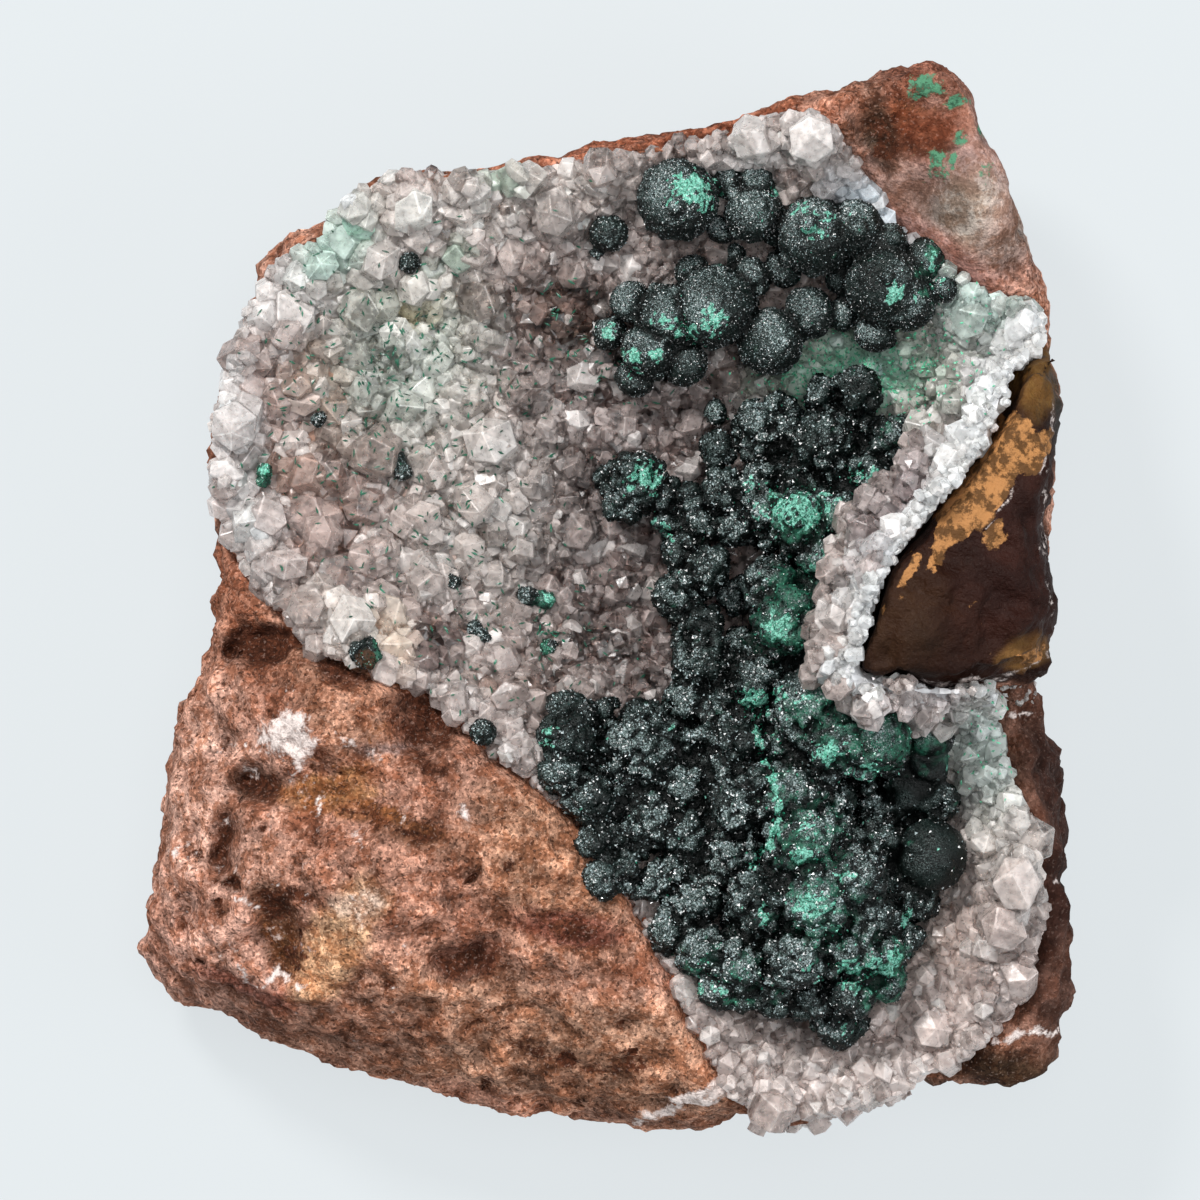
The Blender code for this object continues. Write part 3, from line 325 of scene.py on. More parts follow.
# %% Helpers for materials
class Recipe:
    """A new material with its node tree, and one short call for each kind of node that is used here."""

    def __init__(self, name):
        self.material = bpy.data.materials.new(name)
        self.material.use_nodes = True
        self.nodes = self.material.node_tree.nodes
        self.shader = self.nodes["Principled BSDF"]
        self.place = self.add("TexCoord").outputs["Object"]

    def add(self, kind, inputs=None, **settings):
        made = self.nodes.new("ShaderNode" + kind)
        for name, value in settings.items():
            setattr(made, name, value)
        for key, value in (inputs or {}).items():
            self.feed(made.inputs[key], value)
        return made

    def feed(self, socket, value):
        if isinstance(value, bpy.types.NodeSocket):
            self.material.node_tree.links.new(value, socket)
        elif getattr(socket, "type", "") == "RGBA":
            socket.default_value = (*value, 1.0)
        else:
            socket.default_value = value

    def noise(self, size, detail=3.0, rough=0.55, place=None):
        inputs = {"Vector": place or self.place, "Scale": 1 / (size * MM)}
        inputs.update({"Detail": detail, "Roughness": rough})
        return self.add("TexNoise", inputs).outputs["Fac"]

    def cells(self, size, feature="F1", output="Distance", place=None):
        inputs = {"Vector": place or self.place, "Scale": 1 / (size * MM)}
        return self.add("TexVoronoi", inputs, feature=feature).outputs[output]

    def step(self, value, low, high, to_low=0.0, to_high=1.0):
        inputs = {"Value": value, "From Min": low, "From Max": high, "To Min": to_low, "To Max": to_high}
        return self.add("MapRange", inputs, interpolation_type="SMOOTHSTEP").outputs["Result"]

    def math(self, operation, a, b=0.0):
        return self.add("Math", {0: a, 1: b}, operation=operation).outputs[0]

    def mix(self, share, a, b, blend="MIX"):
        made = self.add("Mix", {"Factor": share}, data_type="RGBA", blend_type=blend)
        self.feed(made.inputs[6], a)
        self.feed(made.inputs[7], b)
        return made.outputs[2]

    def grey(self, value):
        return self.add("CombineColor", {"Red": value, "Green": value, "Blue": value}).outputs[0]

    def elsewhere(self, x, y, z):
        """The Object coordinates moved aside, for a second noise that doesn't follow the first."""
        return self.add("Mapping", {"Vector": self.place, "Location": (x, y, z)}).outputs[0]

    def read(self, name, output="Fac"):
        return self.add("Attribute", attribute_name=name).outputs[output]

    def bump(self, height, depth, strength=1.0, before=None):
        made = self.add("Bump", {"Height": height, "Distance": depth * MM, "Strength": strength})
        if before:
            self.feed(made.inputs["Normal"], before)
        return made.outputs["Normal"]

    def finish(self, **sockets):
        for name, value in sockets.items():
            self.feed(self.shader.inputs[name.replace("_", " ")], value)
        return self.material


# %% [markdown]
# The specimen is seen from straight above, as on a copy stand: the lens looks down at the display face
# from a metre away, so that nearly nothing of the sides shows.

# %% Camera
FIELD = 120.0
FACE_HEIGHT = 30.0
CAMERA_HEIGHT = 1000.0
SENSOR = 36.0

bpy.ops.object.camera_add(location=(CENTRE[0] * MM, CENTRE[1] * MM, CAMERA_HEIGHT * MM))
camera = bpy.context.object
camera.name = "camera_above"
camera.data.sensor_width = SENSOR
camera.data.lens = SENSOR * (CAMERA_HEIGHT - FACE_HEIGHT) / FIELD
camera.data.clip_start = 0.01
camera.data.clip_end = 20.0
bpy.context.scene.camera = camera
print("lens of", round(camera.data.lens, 1), "mm")

# %% [markdown]
# The light is soft and comes from the top left, as the shadows in the hollow tell. The floor is a pale
# plate that glows a little: it keeps its even tone in the picture and gives light back from below.

# %% Floor, lights and world
def area_light(name, place, size, power, colour=(1.0, 1.0, 1.0)):
    bpy.ops.object.light_add(type="AREA", location=place)
    light = bpy.context.object
    light.name = name
    light.rotation_euler = Vector(place).to_track_quat("Z", "Y").to_euler()
    light.data.shape = "DISK"
    light.data.size = size
    light.data.energy = power
    light.data.color = colour


bpy.ops.object.select_all(action="DESELECT")
bpy.ops.mesh.primitive_plane_add(size=8.0, location=(0.0, 0.0, -0.0002))
floor = bpy.context.object
floor.name = "floor"
pale = Recipe("pale_floor")
FLOOR_COLOUR = rgb(231, 237, 240)
pale.finish(
    Base_Color=FLOOR_COLOUR * 0.12, Roughness=0.9,
    Emission_Color=FLOOR_COLOUR, Emission_Strength=0.82,
)
clothe(floor, pale.material)
floor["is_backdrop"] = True

area_light("key_from_the_top_left", (-0.28, 0.42, 0.62), 0.16, 5.0, (1.0, 0.985, 0.96))
area_light("soft_from_above", (0.10, 0.10, 1.2), 0.5, 4.2)
area_light("fill_from_the_right", (0.6, -0.1, 0.5), 0.4, 2.1, (0.95, 0.98, 1.0))
print("three lights over a pale floor")

world = bpy.data.worlds.new("pale_room")
world.use_nodes = True
world.node_tree.nodes["Background"].inputs["Color"].default_value = (*rgb(232, 238, 241), 1.0)
world.node_tree.nodes["Background"].inputs["Strength"].default_value = 0.36
bpy.context.scene.world = world
bpy.context.scene.view_settings.view_transform = "Standard"

# %% [markdown]
# ## The host rock
#
# The rock is a red-brown altered sandstone: grains of 0.3 to 1 mm, crumbly broken sides, and a flat
# back. It could be painted on the plain solid, but then its outline would stay smooth. So a copy of the
# solid is remeshed finely, to be roughened in the next step. Two groups say where that may happen: not
# near the quartz, or the rock would break through the crust, not on the flat back, and less on the horn
# at the upper right, which broke more smoothly.

# %% Rock: a fine copy of the solid
ROCK_VOXEL = 0.62
NEAR_QUARTZ = 0.4
BARE_ROCK_REACH = 2.5
BACK_HEIGHTS = (0.3, 1.5)
crust_tree = tree_of(frame["nodes"]["quartz_crust"])
rock = copy_of_node("matrix_rock", "host_rock")
modify(rock, "REMESH", mode="VOXEL", voxel_size=ROCK_VOXEL * MM, adaptivity=0.0)
modify(rock, "SMOOTH", factor=0.5, iterations=6)
rock_points = points_of(rock)
to_quartz = distance_to(crust_tree, rock_points)
on_back = 1.0 - smooth_step(rock_points[:, 2], *BACK_HEIGHTS)
on_horn = dab(rock_points[:, :2] - CENTRE, 34.5, 41.0, 8.0, 15.0, -25)
calm = (1.0 - on_back) * (1.0 - 0.6 * on_horn)
give_group(rock, "bare", smooth_step(to_quartz, NEAR_QUARTZ, BARE_ROCK_REACH) * calm)
give_group(rock, "grainy", (0.35 + 0.65 * smooth_step(to_quartz, NEAR_QUARTZ, 1.5)) * calm)
print("rock starts with", len(rock_points), "points")

# %% [markdown]
# Broken rock has shapes of every size. Four layers of displacement make them: soft lumps, sharp crags
# between them, small chips, and grains. Each layer is a texture with the size of its shapes.

# %% Rock: lumps, crags, chips and grains
def pattern(name, kind, size, **settings):
    texture = bpy.data.textures.new(name, kind)
    texture.noise_scale = size * MM
    for key, value in settings.items():
        setattr(texture, key, value)
    return texture


lumps = pattern("rock_lumps", "CLOUDS", 7.0, noise_depth=2)
chips = pattern("rock_chips", "VORONOI", 3.2, noise_intensity=1.0)
crags = pattern("rock_crags", "CLOUDS", 4.2, noise_depth=3, noise_type="HARD_NOISE")
grains = pattern("rock_grains", "CLOUDS", 1.1, noise_depth=2)
LAYERS = [(lumps, 2.4, "bare"), (crags, 1.6, "bare"), (chips, 0.8, "bare"), (grains, 0.6, "grainy")]
for texture, depth, group in LAYERS:
    modify(rock, "DISPLACE", texture=texture, strength=depth * MM, mid_level=0.5, vertex_group=group)
    print(texture.name, depth, "mm deep")

# %% [markdown]
# Then come the hollows that one would remember, each in its place, and sixty small pits where softer
# grains fell out. They are pressed straight down into the face with a ragged edge, as a modeller would
# do with a brush. Last, what lies close to the floor is pressed flat on it.

# %% Rock: hollows, pits and the flat back
FLAT_UNDER = 0.35
HOLLOWS = [
    # x, y, wide, high, turn, depth
    (-34.5, -18.6, 2.8, 1.8, -8, 1.4), (-38, -24.2, 1.1, 2.8, -10, 1.2),
    (-33.6, -4.6, 4.2, 1.6, 8, 1.6), (-18.4, -11.8, 2.8, 2.4, -40, 1.2),
    (-32.6, -32.8, 2.2, 4.6, 12, 1), (-14, -36.4, 3.4, 2.2, 10, 0.8),
    (-3, -32.8, 4.6, 1.8, -8, 0.8), (-22.8, -22.8, 4, 1.4, -20, 0.7),
    (-26.6, -6.6, 3.2, 1.2, -28, 1), (33, 47.4, 3, 2.6, 0, 0.9), (27.2, 46.4, 1.6, 3.6, 20, 0.7),
    (-37, -28.8, 1, 0.7, 0, 0.9),
]
rough_chance = np.random.default_rng(SEED + 4)
PITS = []
for turn in range(0, 180, 3):
    x, y = rough_chance.uniform(-45, 3), rough_chance.uniform(-52, -5)
    wide, high = rough_chance.uniform(0.3, 1.0, 2)
    PITS.append((x, y, wide, high, turn, 0.8))
settled, upward = points_of(rock), normals_of(rock)[:, 2] > 0.3
dented = ragged(settled, 1.6, 0.8, 4)
for dents, deeper in ((HOLLOWS, 1.3), (PITS, 1.0)):
    for x, y, wide, high, turn, depth in dents:
        settled[:, 2] -= upward * deeper * depth * dab(dented, x, y, wide, high, turn, 0.5)
settled[:, 2] = np.where(settled[:, 2] < FLAT_UNDER, 0.0, settled[:, 2])
set_points(rock, settled)
rock.data.shade_smooth()
print(len(HOLLOWS), "hollows and", len(PITS), "pits")

# %% [markdown]
# The rock's colours are painted from large to small. First comes a ground of red-brown, paler at the
# left, with the grey and pink horn at the upper right and the dark strips along the right and lower
# edges. The block's outline is here too, because the quartz follows it later.

# %% Rock: the ground colours
BLOCK_TOP = [
    (50, 26.5), (44.5, 25.6), (40.6, 23.2), (40, 19.5), (38.4, 15.3), (35, 11.2), (31.9, 7.7),
    (28.5, 3.4), (27, -0.7), (26.2, -3.8), (24.8, -6.8), (25.3, -8.6), (30, -8.2), (32.6, -9.6),
    (38, -8.8), (44, -8.4), (50, -7),
]
rock_points = points_of(rock)
near = ragged(frayed(rock_points, 0.9, 0.35, 7), 2.4, 1.0, 1)
far = ragged(rock_points, 9.0, 4.5, 2)
ground = np.tile(rgb(162, 116, 97), (len(rock_points), 1))
GROUND_DABS = [
    # colour, x, y, wide, high, turn, strength
    ((188, 144, 126), -39, -22, 6, 14, 0, 0.8), ((140, 100, 78), -26, -8, 12, 5, -25, 0.6),
    ((146, 106, 80), -5, -26, 9, 7, -40, 0.6), ((170, 126, 102), -8, -44, 20, 6.5, -8, 0.85),
    ((182, 128, 106), -20, -51, 22, 3, -14, 0.8), ((182, 134, 116), -42, -34, 6, 8, 10, 0.7),
    ((132, 80, 66), -35.5, -38.6, 4.4, 1.6, -12, 0.9), ((160, 116, 92), 4, -48, 12, 5, 0, 0.7),
    ((146, 98, 78), -18, -31, 8, 5, -20, 0.4), ((140, 96, 78), -24, -42, 7, 3.4, -24, 0.6),
    ((154, 119, 109), 35, 40, 9, 12, -25, 1), ((136, 127, 117), 36.5, 37.4, 4.6, 5.4, -30, 0.85),
    ((152, 108, 98), 35.6, 32.5, 7, 2.4, -35, 0.9), ((108, 58, 37), 31.4, 48.2, 4.8, 3.4, 0, 1),
    # The dab of (72, 56, 46) in the scoop on the horn is painted shade.
    ((72, 56, 46), 26.6, 47.2, 2.4, 4, 16, 1), ((118, 72, 56), 32.5, 53, 8, 1.4, 0, 0.9),
    ((58, 35, 28), 46, -24, 5, 22, 0, 1), ((62, 43, 30), 42, -47, 9, 3.4, 0, 1),
    ((132, 76, 54), 6, 45.5, 18, 3, 8, 0.9), ((128, 80, 60), -38, 10, 4, 26, 8, 0.8),
]
ground = paint_dabs(ground, far, GROUND_DABS)
print(len(GROUND_DABS), "large dabs on", len(rock_points), "points")

# %% [markdown]
# Iron stained the sandstone in patches of 2 to 4 mm, some darker and some paler than the ground.
# Creases are painted darker as shade and tops paler as light, so the colour also follows how far a point
# stands out.
# The block at the right is a chocolate-brown crust, and only its top is: the colour ends down its side.

# %% Rock: patches, creases and the chocolate block
BLOCK_FOOT, BLOCK_FACE = 26, 31
patches = speckle(rock_points, 3.8, 21) + 0.6 * speckle(rock_points, 1.6, 22)
ground = paint(ground, ground * [0.60, 0.50, 0.44], 0.75 * smooth_step(patches, 0.10, 0.42))
ground = paint(ground, ground * [1.32, 1.34, 1.34], 0.70 * smooth_step(-patches, 0.10, 0.45))
stands_out = standing_out(rock, 14)
# Painted shade and light: darker in creases and paler on tops, by how far each point stands out.
ground = ground * (0.76 + 0.56 * smooth_step(stands_out, -0.50, 0.45))[:, None]
block_depth = rock_points[:, 2] + 3.0 * speckle(rock_points, 3.0, 23)
on_block = smooth_step(signed_distance(near, BLOCK_TOP), -0.4, 0.4) * smooth_step(
    block_depth, BLOCK_FOOT, BLOCK_FACE,
)
ground = paint(ground, rgb(42, 20, 11), on_block)
ground = paint(ground, rgb(46, 22, 17), 0.8 * on_block * dab(near, 41.5, 5.0, 6.0, 10.0))
ground = paint(ground, rgb(54, 35, 21), 0.7 * on_block * dab(near, 29.5, -3.0, 4.0, 6.0, -20))

# %% [markdown]
# The stains and the shade that one would remember go on one by one: painted shade in the hollows, orange
# bands, the cream patch at the lower left and the ochre on the block. They lie only on what looks up, as a
# stain that soaked in from above would, the painted shade with them, and so the sides stay plain rock.

# %% Rock: stains
STAINS = [
    # colour, x, y, wide, high, turn, strength
    # The dark dabs in the hollows, under the druse's rim and in the horn's scoop are painted shade; the
    # others are stains.
    ((72, 40, 28), -33.8, -4.3, 4.2, 1.3, 8, 0.95),
    ((80, 48, 36), -26.4, -7.2, 2.4, 0.8, -28, 0.9),
    ((92, 54, 40), -18.4, -11.6, 2.6, 2.4, -40, 0.85),
    ((84, 54, 40), -34.3, -18.4, 2.8, 1.7, -8, 0.85),
    ((98, 60, 46), -37.8, -24.2, 1.2, 2.8, -14, 0.8), ((150, 96, 56), -27, -19, 4, 1.5, 10, 0.8),
    ((176, 122, 80), -27, -17.8, 3.4, 0.4, 14, 0.8),
    ((182, 128, 84), -26, -19.4, 3.8, 0.35, 4, 0.7),
    ((126, 78, 46), -25.4, -20.9, 3.2, 0.8, -12, 0.8),
    ((112, 70, 46), -19, -23.2, 4, 1.3, -22, 0.75),
    ((216, 166, 128), -26.2, -34, 2.4, 5.4, -32, 1),
    ((212, 160, 122), -28.4, -38, 2.2, 1.8, 0, 0.9),
    ((224, 192, 172), -23.4, -31, 1, 1.8, -20, 0.8),
    ((224, 190, 168), -25.6, -30.4, 1.4, 1, 0, 0.7),
    ((96, 62, 42), -32.6, -31.6, 1.7, 3.4, 16, 0.85),
    ((108, 70, 42), -31.4, -35.6, 1.5, 2, 0, 0.7), ((104, 66, 50), -28, -29.6, 2.6, 0.8, 0, 0.6),
    ((92, 52, 40), -13.8, -36, 3.2, 1.8, 14, 0.8),
    ((116, 66, 54), -3.2, -32.6, 4.6, 1.6, -8, 0.75),
    ((94, 54, 44), -1.4, -33.6, 1.6, 0.9, 0, 0.6),
    ((188, 140, 116), -12.4, -41.6, 2.2, 1.2, 0, 0.5), ((96, 66, 50), -1, -47, 5, 1.2, -10, 0.6),
    ((98, 68, 52), -6, -44.4, 6, 1, -10, 0.4), ((156, 118, 96), 1.6, -42.4, 4, 2, -10, 0.5),
    ((70, 52, 40), -37.3, -28.4, 1, 0.6, 0, 0.9), ((96, 84, 84), -21.4, -14.6, 2.8, 0.7, -6, 0.6),
    ((176, 128, 108), -15.4, -17.2, 3, 1.4, -30, 0.5),
    ((108, 70, 54), -17.4, -16.4, 2, 1, -20, 0.7), ((178, 144, 134), 38, 44.4, 3, 2.4, 0, 0.5),
    ((140, 110, 96), 30.2, 41.4, 2.4, 2, -40, 0.5), ((62, 44, 32), 28.2, 45.8, 1, 3.2, 10, 0.8),
    ((122, 70, 50), 33.4, 46.8, 3.2, 1.6, 16, 0.6), ((74, 40, 26), 31.6, 44.8, 3.6, 0.9, 8, 0.75),
    ((96, 74, 64), 24.4, 46.6, 1, 1.6, 0, 0.6), ((190, 176, 164), -40.2, 8, 1.2, 3, 0, 0.3),
    ((214, 160, 138), -35.4, 34.2, 1.4, 2.2, -30, 0.7),
    ((112, 80, 40), 43.6, 22.4, 3.6, 3.2, 0, 0.95), ((74, 46, 26), 40.4, 20.4, 1.4, 1.2, 0, 0.7),
    ((120, 84, 44), 42.6, -5.2, 2.4, 1.2, 8, 0.85), ((58, 56, 54), 46.4, 20.6, 0.9, 4.6, -6, 0.9),
]
looks_up = smooth_step(normals_of(rock)[:, 2], 0.0, 0.4)
ground = paint_dabs(ground, near, STAINS, looks_up, 1.2, 0.35)
give_attribute(rock, "ground", ground)
print(len(STAINS), "stains")

# %% [markdown]
# White veins are thin seams of quartz. The long ones are drawn as strokes of a brush, and 110 short
# threads lie scattered over the lower left. These marks are kept as shares from 0 to 1 and not mixed
# into the ground, because the finish frays and spots their edges finer than the mesh could.

# %% Rock: white veins
WHITE_PATCH = [(-30.9, -13.6, 2.4, 1.8, -14, 1.4), (-30.4, -16.2, 0.7, 1.5, 0, 0.8)]
white = dabbed(near, WHITE_PATCH, 0.8)
VEINS = [
    # route, half-width, strength
    ([(-43, -14), (-38.4, -14.8), (-34.6, -15.2), (-32.6, -15)], 0.22, 0.55),
    ([(-36.8, -29.4), (-34.6, -30.2), (-33.4, -31.4)], 0.18, 0.5),
    ([(-20.6, -30), (-20, -33.4)], 0.20, 0.5),
    ([(-36.4, -36), (-35, -38.4), (-33.4, -38.8), (-32.4, -37.6), (-30.2, -38)], 0.32, 0.75),
    ([(39.4, -44.2), (42, -43.6), (47.6, -43.4)], 0.45, 0.9),
    ([(40.2, -11.9), (43.6, -11.6)], 0.2, 0.8), ([(42, -28.4), (47, -28.2)], 0.16, 0.7),
    ([(4, -52.8), (7.5, -50.6), (12, -49.2)], 0.8, 0.95),
    ([(-21.2, -38.6), (-20.8, -40.6), (-20.2, -42.8)], 0.14, 0.5),
    ([(-13.6, -20), (-13, -23)], 0.2, 0.4),
    ([(-29, -17.4), (-28, -20.6), (-27.4, -24)], 0.14, 0.4),
    ([(-44.4, -20), (-42.8, -23.4)], 0.2, 0.4),
    ([(44.9, 19), (44.3, 14), (44, 6), (44.6, 0), (44.8, -1)], 0.22, 0.75),
    ([(31, -8.4), (36, -8.4), (40, -7.8), (44.6, -5.4)], 0.45, 0.7),
    ([(44.6, 14.2), (41.2, 11.4), (37.2, 6.4)], 0.2, 0.6), ([(30.8, 51), (33.2, 51.8)], 0.3, 0.5),
]
for route, width, strength in VEINS:
    white += strength * stroke(near, route, width)
for _ in range(110):
    x, y = rough_chance.normal(-34, 9), rough_chance.normal(-26, 11)
    turn, long = rough_chance.uniform(0, math.pi), rough_chance.uniform(0.4, 1.8)
    route = [(x, y), (x + long * math.cos(turn), y + long * math.sin(turn))]
    white += rough_chance.uniform(0.25, 0.6) * stroke(near, route, rough_chance.uniform(0.15, 0.45))
white *= looks_up
give_attribute(rock, "white", np.clip(white, 0, 1))
print(len(VEINS), "veins")

# %% [markdown]
# A band of golden ochre runs across the block's top, with flecks of it beside. On the horn lie thin green
# films, where copper seeped out of the malachite.

# %% Rock: ochre and green films
OCHRE_BAND = [
    (38.2, 18.4), (42.8, 17.9), (44.3, 16.8), (45, 15.4), (44.6, 14.4), (43, 12.9), (40.8, 11.2),
    (37.4, 6.9), (32.9, 2.6), (32.2, 3.2), (33.3, 6.6), (33.1, 8.8), (34.9, 11.2), (37, 13.6),
    (38, 15.4),
]
OCHRE_FLECKS = [
    # x, y, wide, high, turn, strength
    (30.5, 3, 0.6, 1.8, -20, 1), (38.9, 6.8, 0.9, 1.3, -30, 1), (29.4, 0.4, 0.25, 0.25, 0, 1),
    (28, -0.9, 0.3, 0.4, 0, 1), (36.6, -0.8, 0.14, 1, -30, 1), (43, -5.3, 1.4, 0.7, 8, 1),
]
GREEN_FILMS = [
    # x, y, wide, high, turn, strength
    (32.4, 51.1, 2, 0.9, 14, 0.85), (35.2, 49.4, 1.6, 0.7, 10, 0.95),
    (35.9, 45.9, 0.7, 1, -25, 0.95), (33.2, 44.4, 0.7, 1.1, 10, 0.95),
    (38.2, 46.6, 0.5, 0.6, 0, 0.9), (34.9, 43.8, 0.6, 0.6, 20, 0.8),
    (33.6, 42.4, 1.8, 0.9, 20, 0.6), (38.4, 42.6, 1.1, 1.4, 20, 0.6),
    (30.9, 44.2, 0.6, 0.4, 0, 0.6), (-23.6, -5.6, 1.3, 1.2, 0, 0.8),
    (39.8, 44.6, 0.3, 0.7, 0, 0.6), (34.6, 50.6, 0.5, 0.4, 0, 0.6),
]
BLOCK_HEIGHT = 30
ochre = smooth_step(signed_distance(near, OCHRE_BAND), -0.25, 0.3) + dabbed(near, OCHRE_FLECKS, 0.4)
give_attribute(rock, "ochre", np.clip(ochre, 0, 1) * (rock_points[:, 2] > BLOCK_HEIGHT))
give_attribute(rock, "green", np.clip(dabbed(near, GREEN_FILMS, 0.8), 0, 1))
print(len(OCHRE_FLECKS), "ochre flecks and", len(GREEN_FILMS), "green films")

# %% [markdown]
# Dark and rust-coloured marks have the crispest edges. The dark marks are painted shade in the hollows and
# the pits, which is what makes these read as deep; the rust-coloured ones are stains. A last share,
# "quiet", calms the grain on the block, the horn and the strip at the right, where the stone is
# closer-grained and duller.

# %% Rock: dark marks of painted shade, and rust-coloured marks
CRISP_MARKS = {
    # kind: x, y, wide, high, turn, strength
    # The dark marks are painted shade in the hollows, the pits and the horn's scoop.
    "dark": [
        (-32.8, -4.5, 4.2, 1.2, 6, 1.1), (-25.4, -7, 2.6, 0.8, -26, 1),
        (-16.4, -12, 2.9, 2.1, -38, 0.85), (-34, -18.2, 2.7, 1.3, -8, 0.85),
        (-37.6, -24, 0.9, 2.6, -14, 0.9), (-32.6, -30.6, 1.6, 2.6, 16, 0.8),
        (-29.4, -29.2, 2.4, 0.6, 0, 0.8), (-30.6, -35.6, 1.2, 1.2, 0, 0.7),
        (-13.6, -36.2, 2.8, 1.2, 14, 0.85), (-2.6, -32.8, 4, 1.1, -8, 0.65),
        (-18.9, -23.4, 3.4, 0.7, -22, 0.8), (-37.3, -28.4, 1.1, 0.6, 0, 1.1),
        (-24.2, -20.7, 2.6, 0.5, -12, 0.7), (-17.2, -16.2, 2, 0.8, -20, 0.7),
        (31.6, 44.8, 3.4, 0.6, 8, 0.8), (28, 46, 0.9, 3.2, 10, 0.7),
        (-1, -46.8, 4.4, 0.7, -10, 0.6), (-7.4, -45, 3.4, 0.8, -12, 0.6),
        (3.4, -46.4, 2.2, 1.2, -20, 0.6), (-31, -16.8, 1.4, 0.5, -50, 0.6),
        (-22, -38.4, 1.6, 0.5, -40, 0.5),
    ],
    "rust": [
        (-27.2, -18.9, 4, 0.9, 10, 0.85), (-25.6, -17.4, 3.4, 0.25, 14, 0.8),
        (-26, -16.4, 2.6, 0.2, 16, 0.7), (-22.6, -20.4, 3.2, 0.6, -20, 0.8),
        (-18.4, -22.8, 3.6, 0.8, -22, 0.7), (-22.4, -12.6, 1.6, 1.2, 0, 0.6),
        (-20.6, -7.9, 1.3, 0.6, -30, 1.1), (-33, -33.4, 1.6, 2.6, 14, 0.7),
        (-30.8, -36, 1.4, 0.9, 0, 0.7), (-29.2, -15.8, 1, 1, 0, 0.7),
        (-18.6, -39.8, 1, 1.4, 0, 0.5), (-13, -42, 2.6, 1, -14, 0.5),
        (31.6, 49.2, 2.8, 1.2, 0, 0.5), (-37.6, -42.6, 1.2, 0.5, 0, 0.6),
        (-33.6, -24.6, 1.2, 1.8, 0, 0.5),
    ],
}
for kind, marks in CRISP_MARKS.items():
    amount = dabbed(near, marks, 0.7)
    if kind == "dark":
        # Every pit gets painted shade too.
        for x, y, wide, high, turn, _ in PITS:
            amount += 0.7 * dab(dented, x, y, wide, high, turn, 0.6)
    give_attribute(rock, kind, np.clip(amount, 0, 1) * (1.0 - on_block) * looks_up)
    print(len(marks), kind, "marks")
horn = dab(near, 35.0, 40.0, 8.0, 13.0, -25)
strip = dab(near, 46.0, -28.0, 5.0, 24.0)
quiet_share = np.max([0.92 * on_block, 0.5 * horn, 0.5 * strip], axis=0)
give_attribute(rock, "quiet", np.clip(quiet_share, 0, 1))

# %% [markdown]
# The rock's finish starts with what is finer than the mesh. A wide tone drifts over 5 mm, patches of
# 2 mm turn the ground warmer or paler, and two sizes of cells give each grain of sand, 0.3 and 0.7 mm
# wide, its own lightness. One noise at the edges frays every painted mark.

# %% Rock: finish
stone = Recipe("red_brown_rock")
tone = stone.step(stone.noise(5.0, 1.0, 0.6), 0.3, 0.7, 0.72, 1.18)
grain_field = stone.noise(0.5, 2.0, 0.75)
grain = stone.step(grain_field, 0.34, 0.66, 0.86, 1.12)
quiet = stone.read("quiet")
grain_on = stone.math("SUBTRACT", 1.0, quiet)
for size, darkest, palest in ((0.70, 0.78, 1.20), (0.32, 0.66, 1.32)):
    sand_kind = stone.add("SeparateColor", {"Color": stone.cells(size, output="Color")}).outputs[0]
    grain = stone.math("MULTIPLY", grain, stone.step(sand_kind, 0.0, 1.0, darkest, palest))
grain_soft = stone.math("ADD", stone.math("MULTIPLY", stone.math("SUBTRACT", grain, 1.0), grain_on), 1.0)
shade = stone.math("MULTIPLY", tone, grain_soft)
patch = stone.step(stone.noise(2.0, 4.0, 0.74), 0.42, 0.58)
patch = stone.mix(patch, (0.68, 0.56, 0.48), (1.12, 1.20, 1.26))
patch = stone.mix(stone.math("MULTIPLY", quiet, 0.6), patch, (1.0, 1.0, 1.0))
fray = stone.math("MULTIPLY", stone.math("SUBTRACT", stone.noise(0.8, 3.0, 0.75), 0.5), 1.7)
small_spots = stone.noise(0.8, 3.0, 0.72)
wide_spots = stone.noise(1.5, 4.0, 0.72)

# %% [markdown]
# The marks are then laid on in the order in which they came: rust stains and the dark marks of painted
# shade under the grain, pale and nearly black specks of 0.4 mm in it, and white, green and ochre on top.
# The bump of the same grains gives the dull, gritty shine of broken sandstone. The block's top is
# smoother, like an old varnished break.

# %% Rock: finish with its marks
def marked(colour, mark, low, high, tint, spot_field, darkest):
    """Lays one kind of mark over a colour, its edge frayed and its inside spotted."""
    share = stone.step(stone.math("ADD", stone.read(mark), fray), low, high)
    spots = stone.step(spot_field, 0.43, 0.57, darkest, 1.05)
    return stone.mix(share, colour, stone.mix(1.0, stone.grey(spots), tint, "MULTIPLY"))


def specks(size, highest, moved):
    """Where the small specks of one kind lie: the highest spots of a noise of their own."""
    field = stone.noise(size, 1.0, 0.5, stone.elsewhere(*moved))
    share = stone.math("MULTIPLY", stone.step(field, 0.62, highest), grain_on)
    return stone.math("MULTIPLY", share, 0.7)


colour = stone.mix(1.0, stone.read("ground", "Color"), patch, "MULTIPLY")
colour = marked(colour, "rust", 0.38, 0.9, rgb(134, 84, 52), small_spots, 0.5)
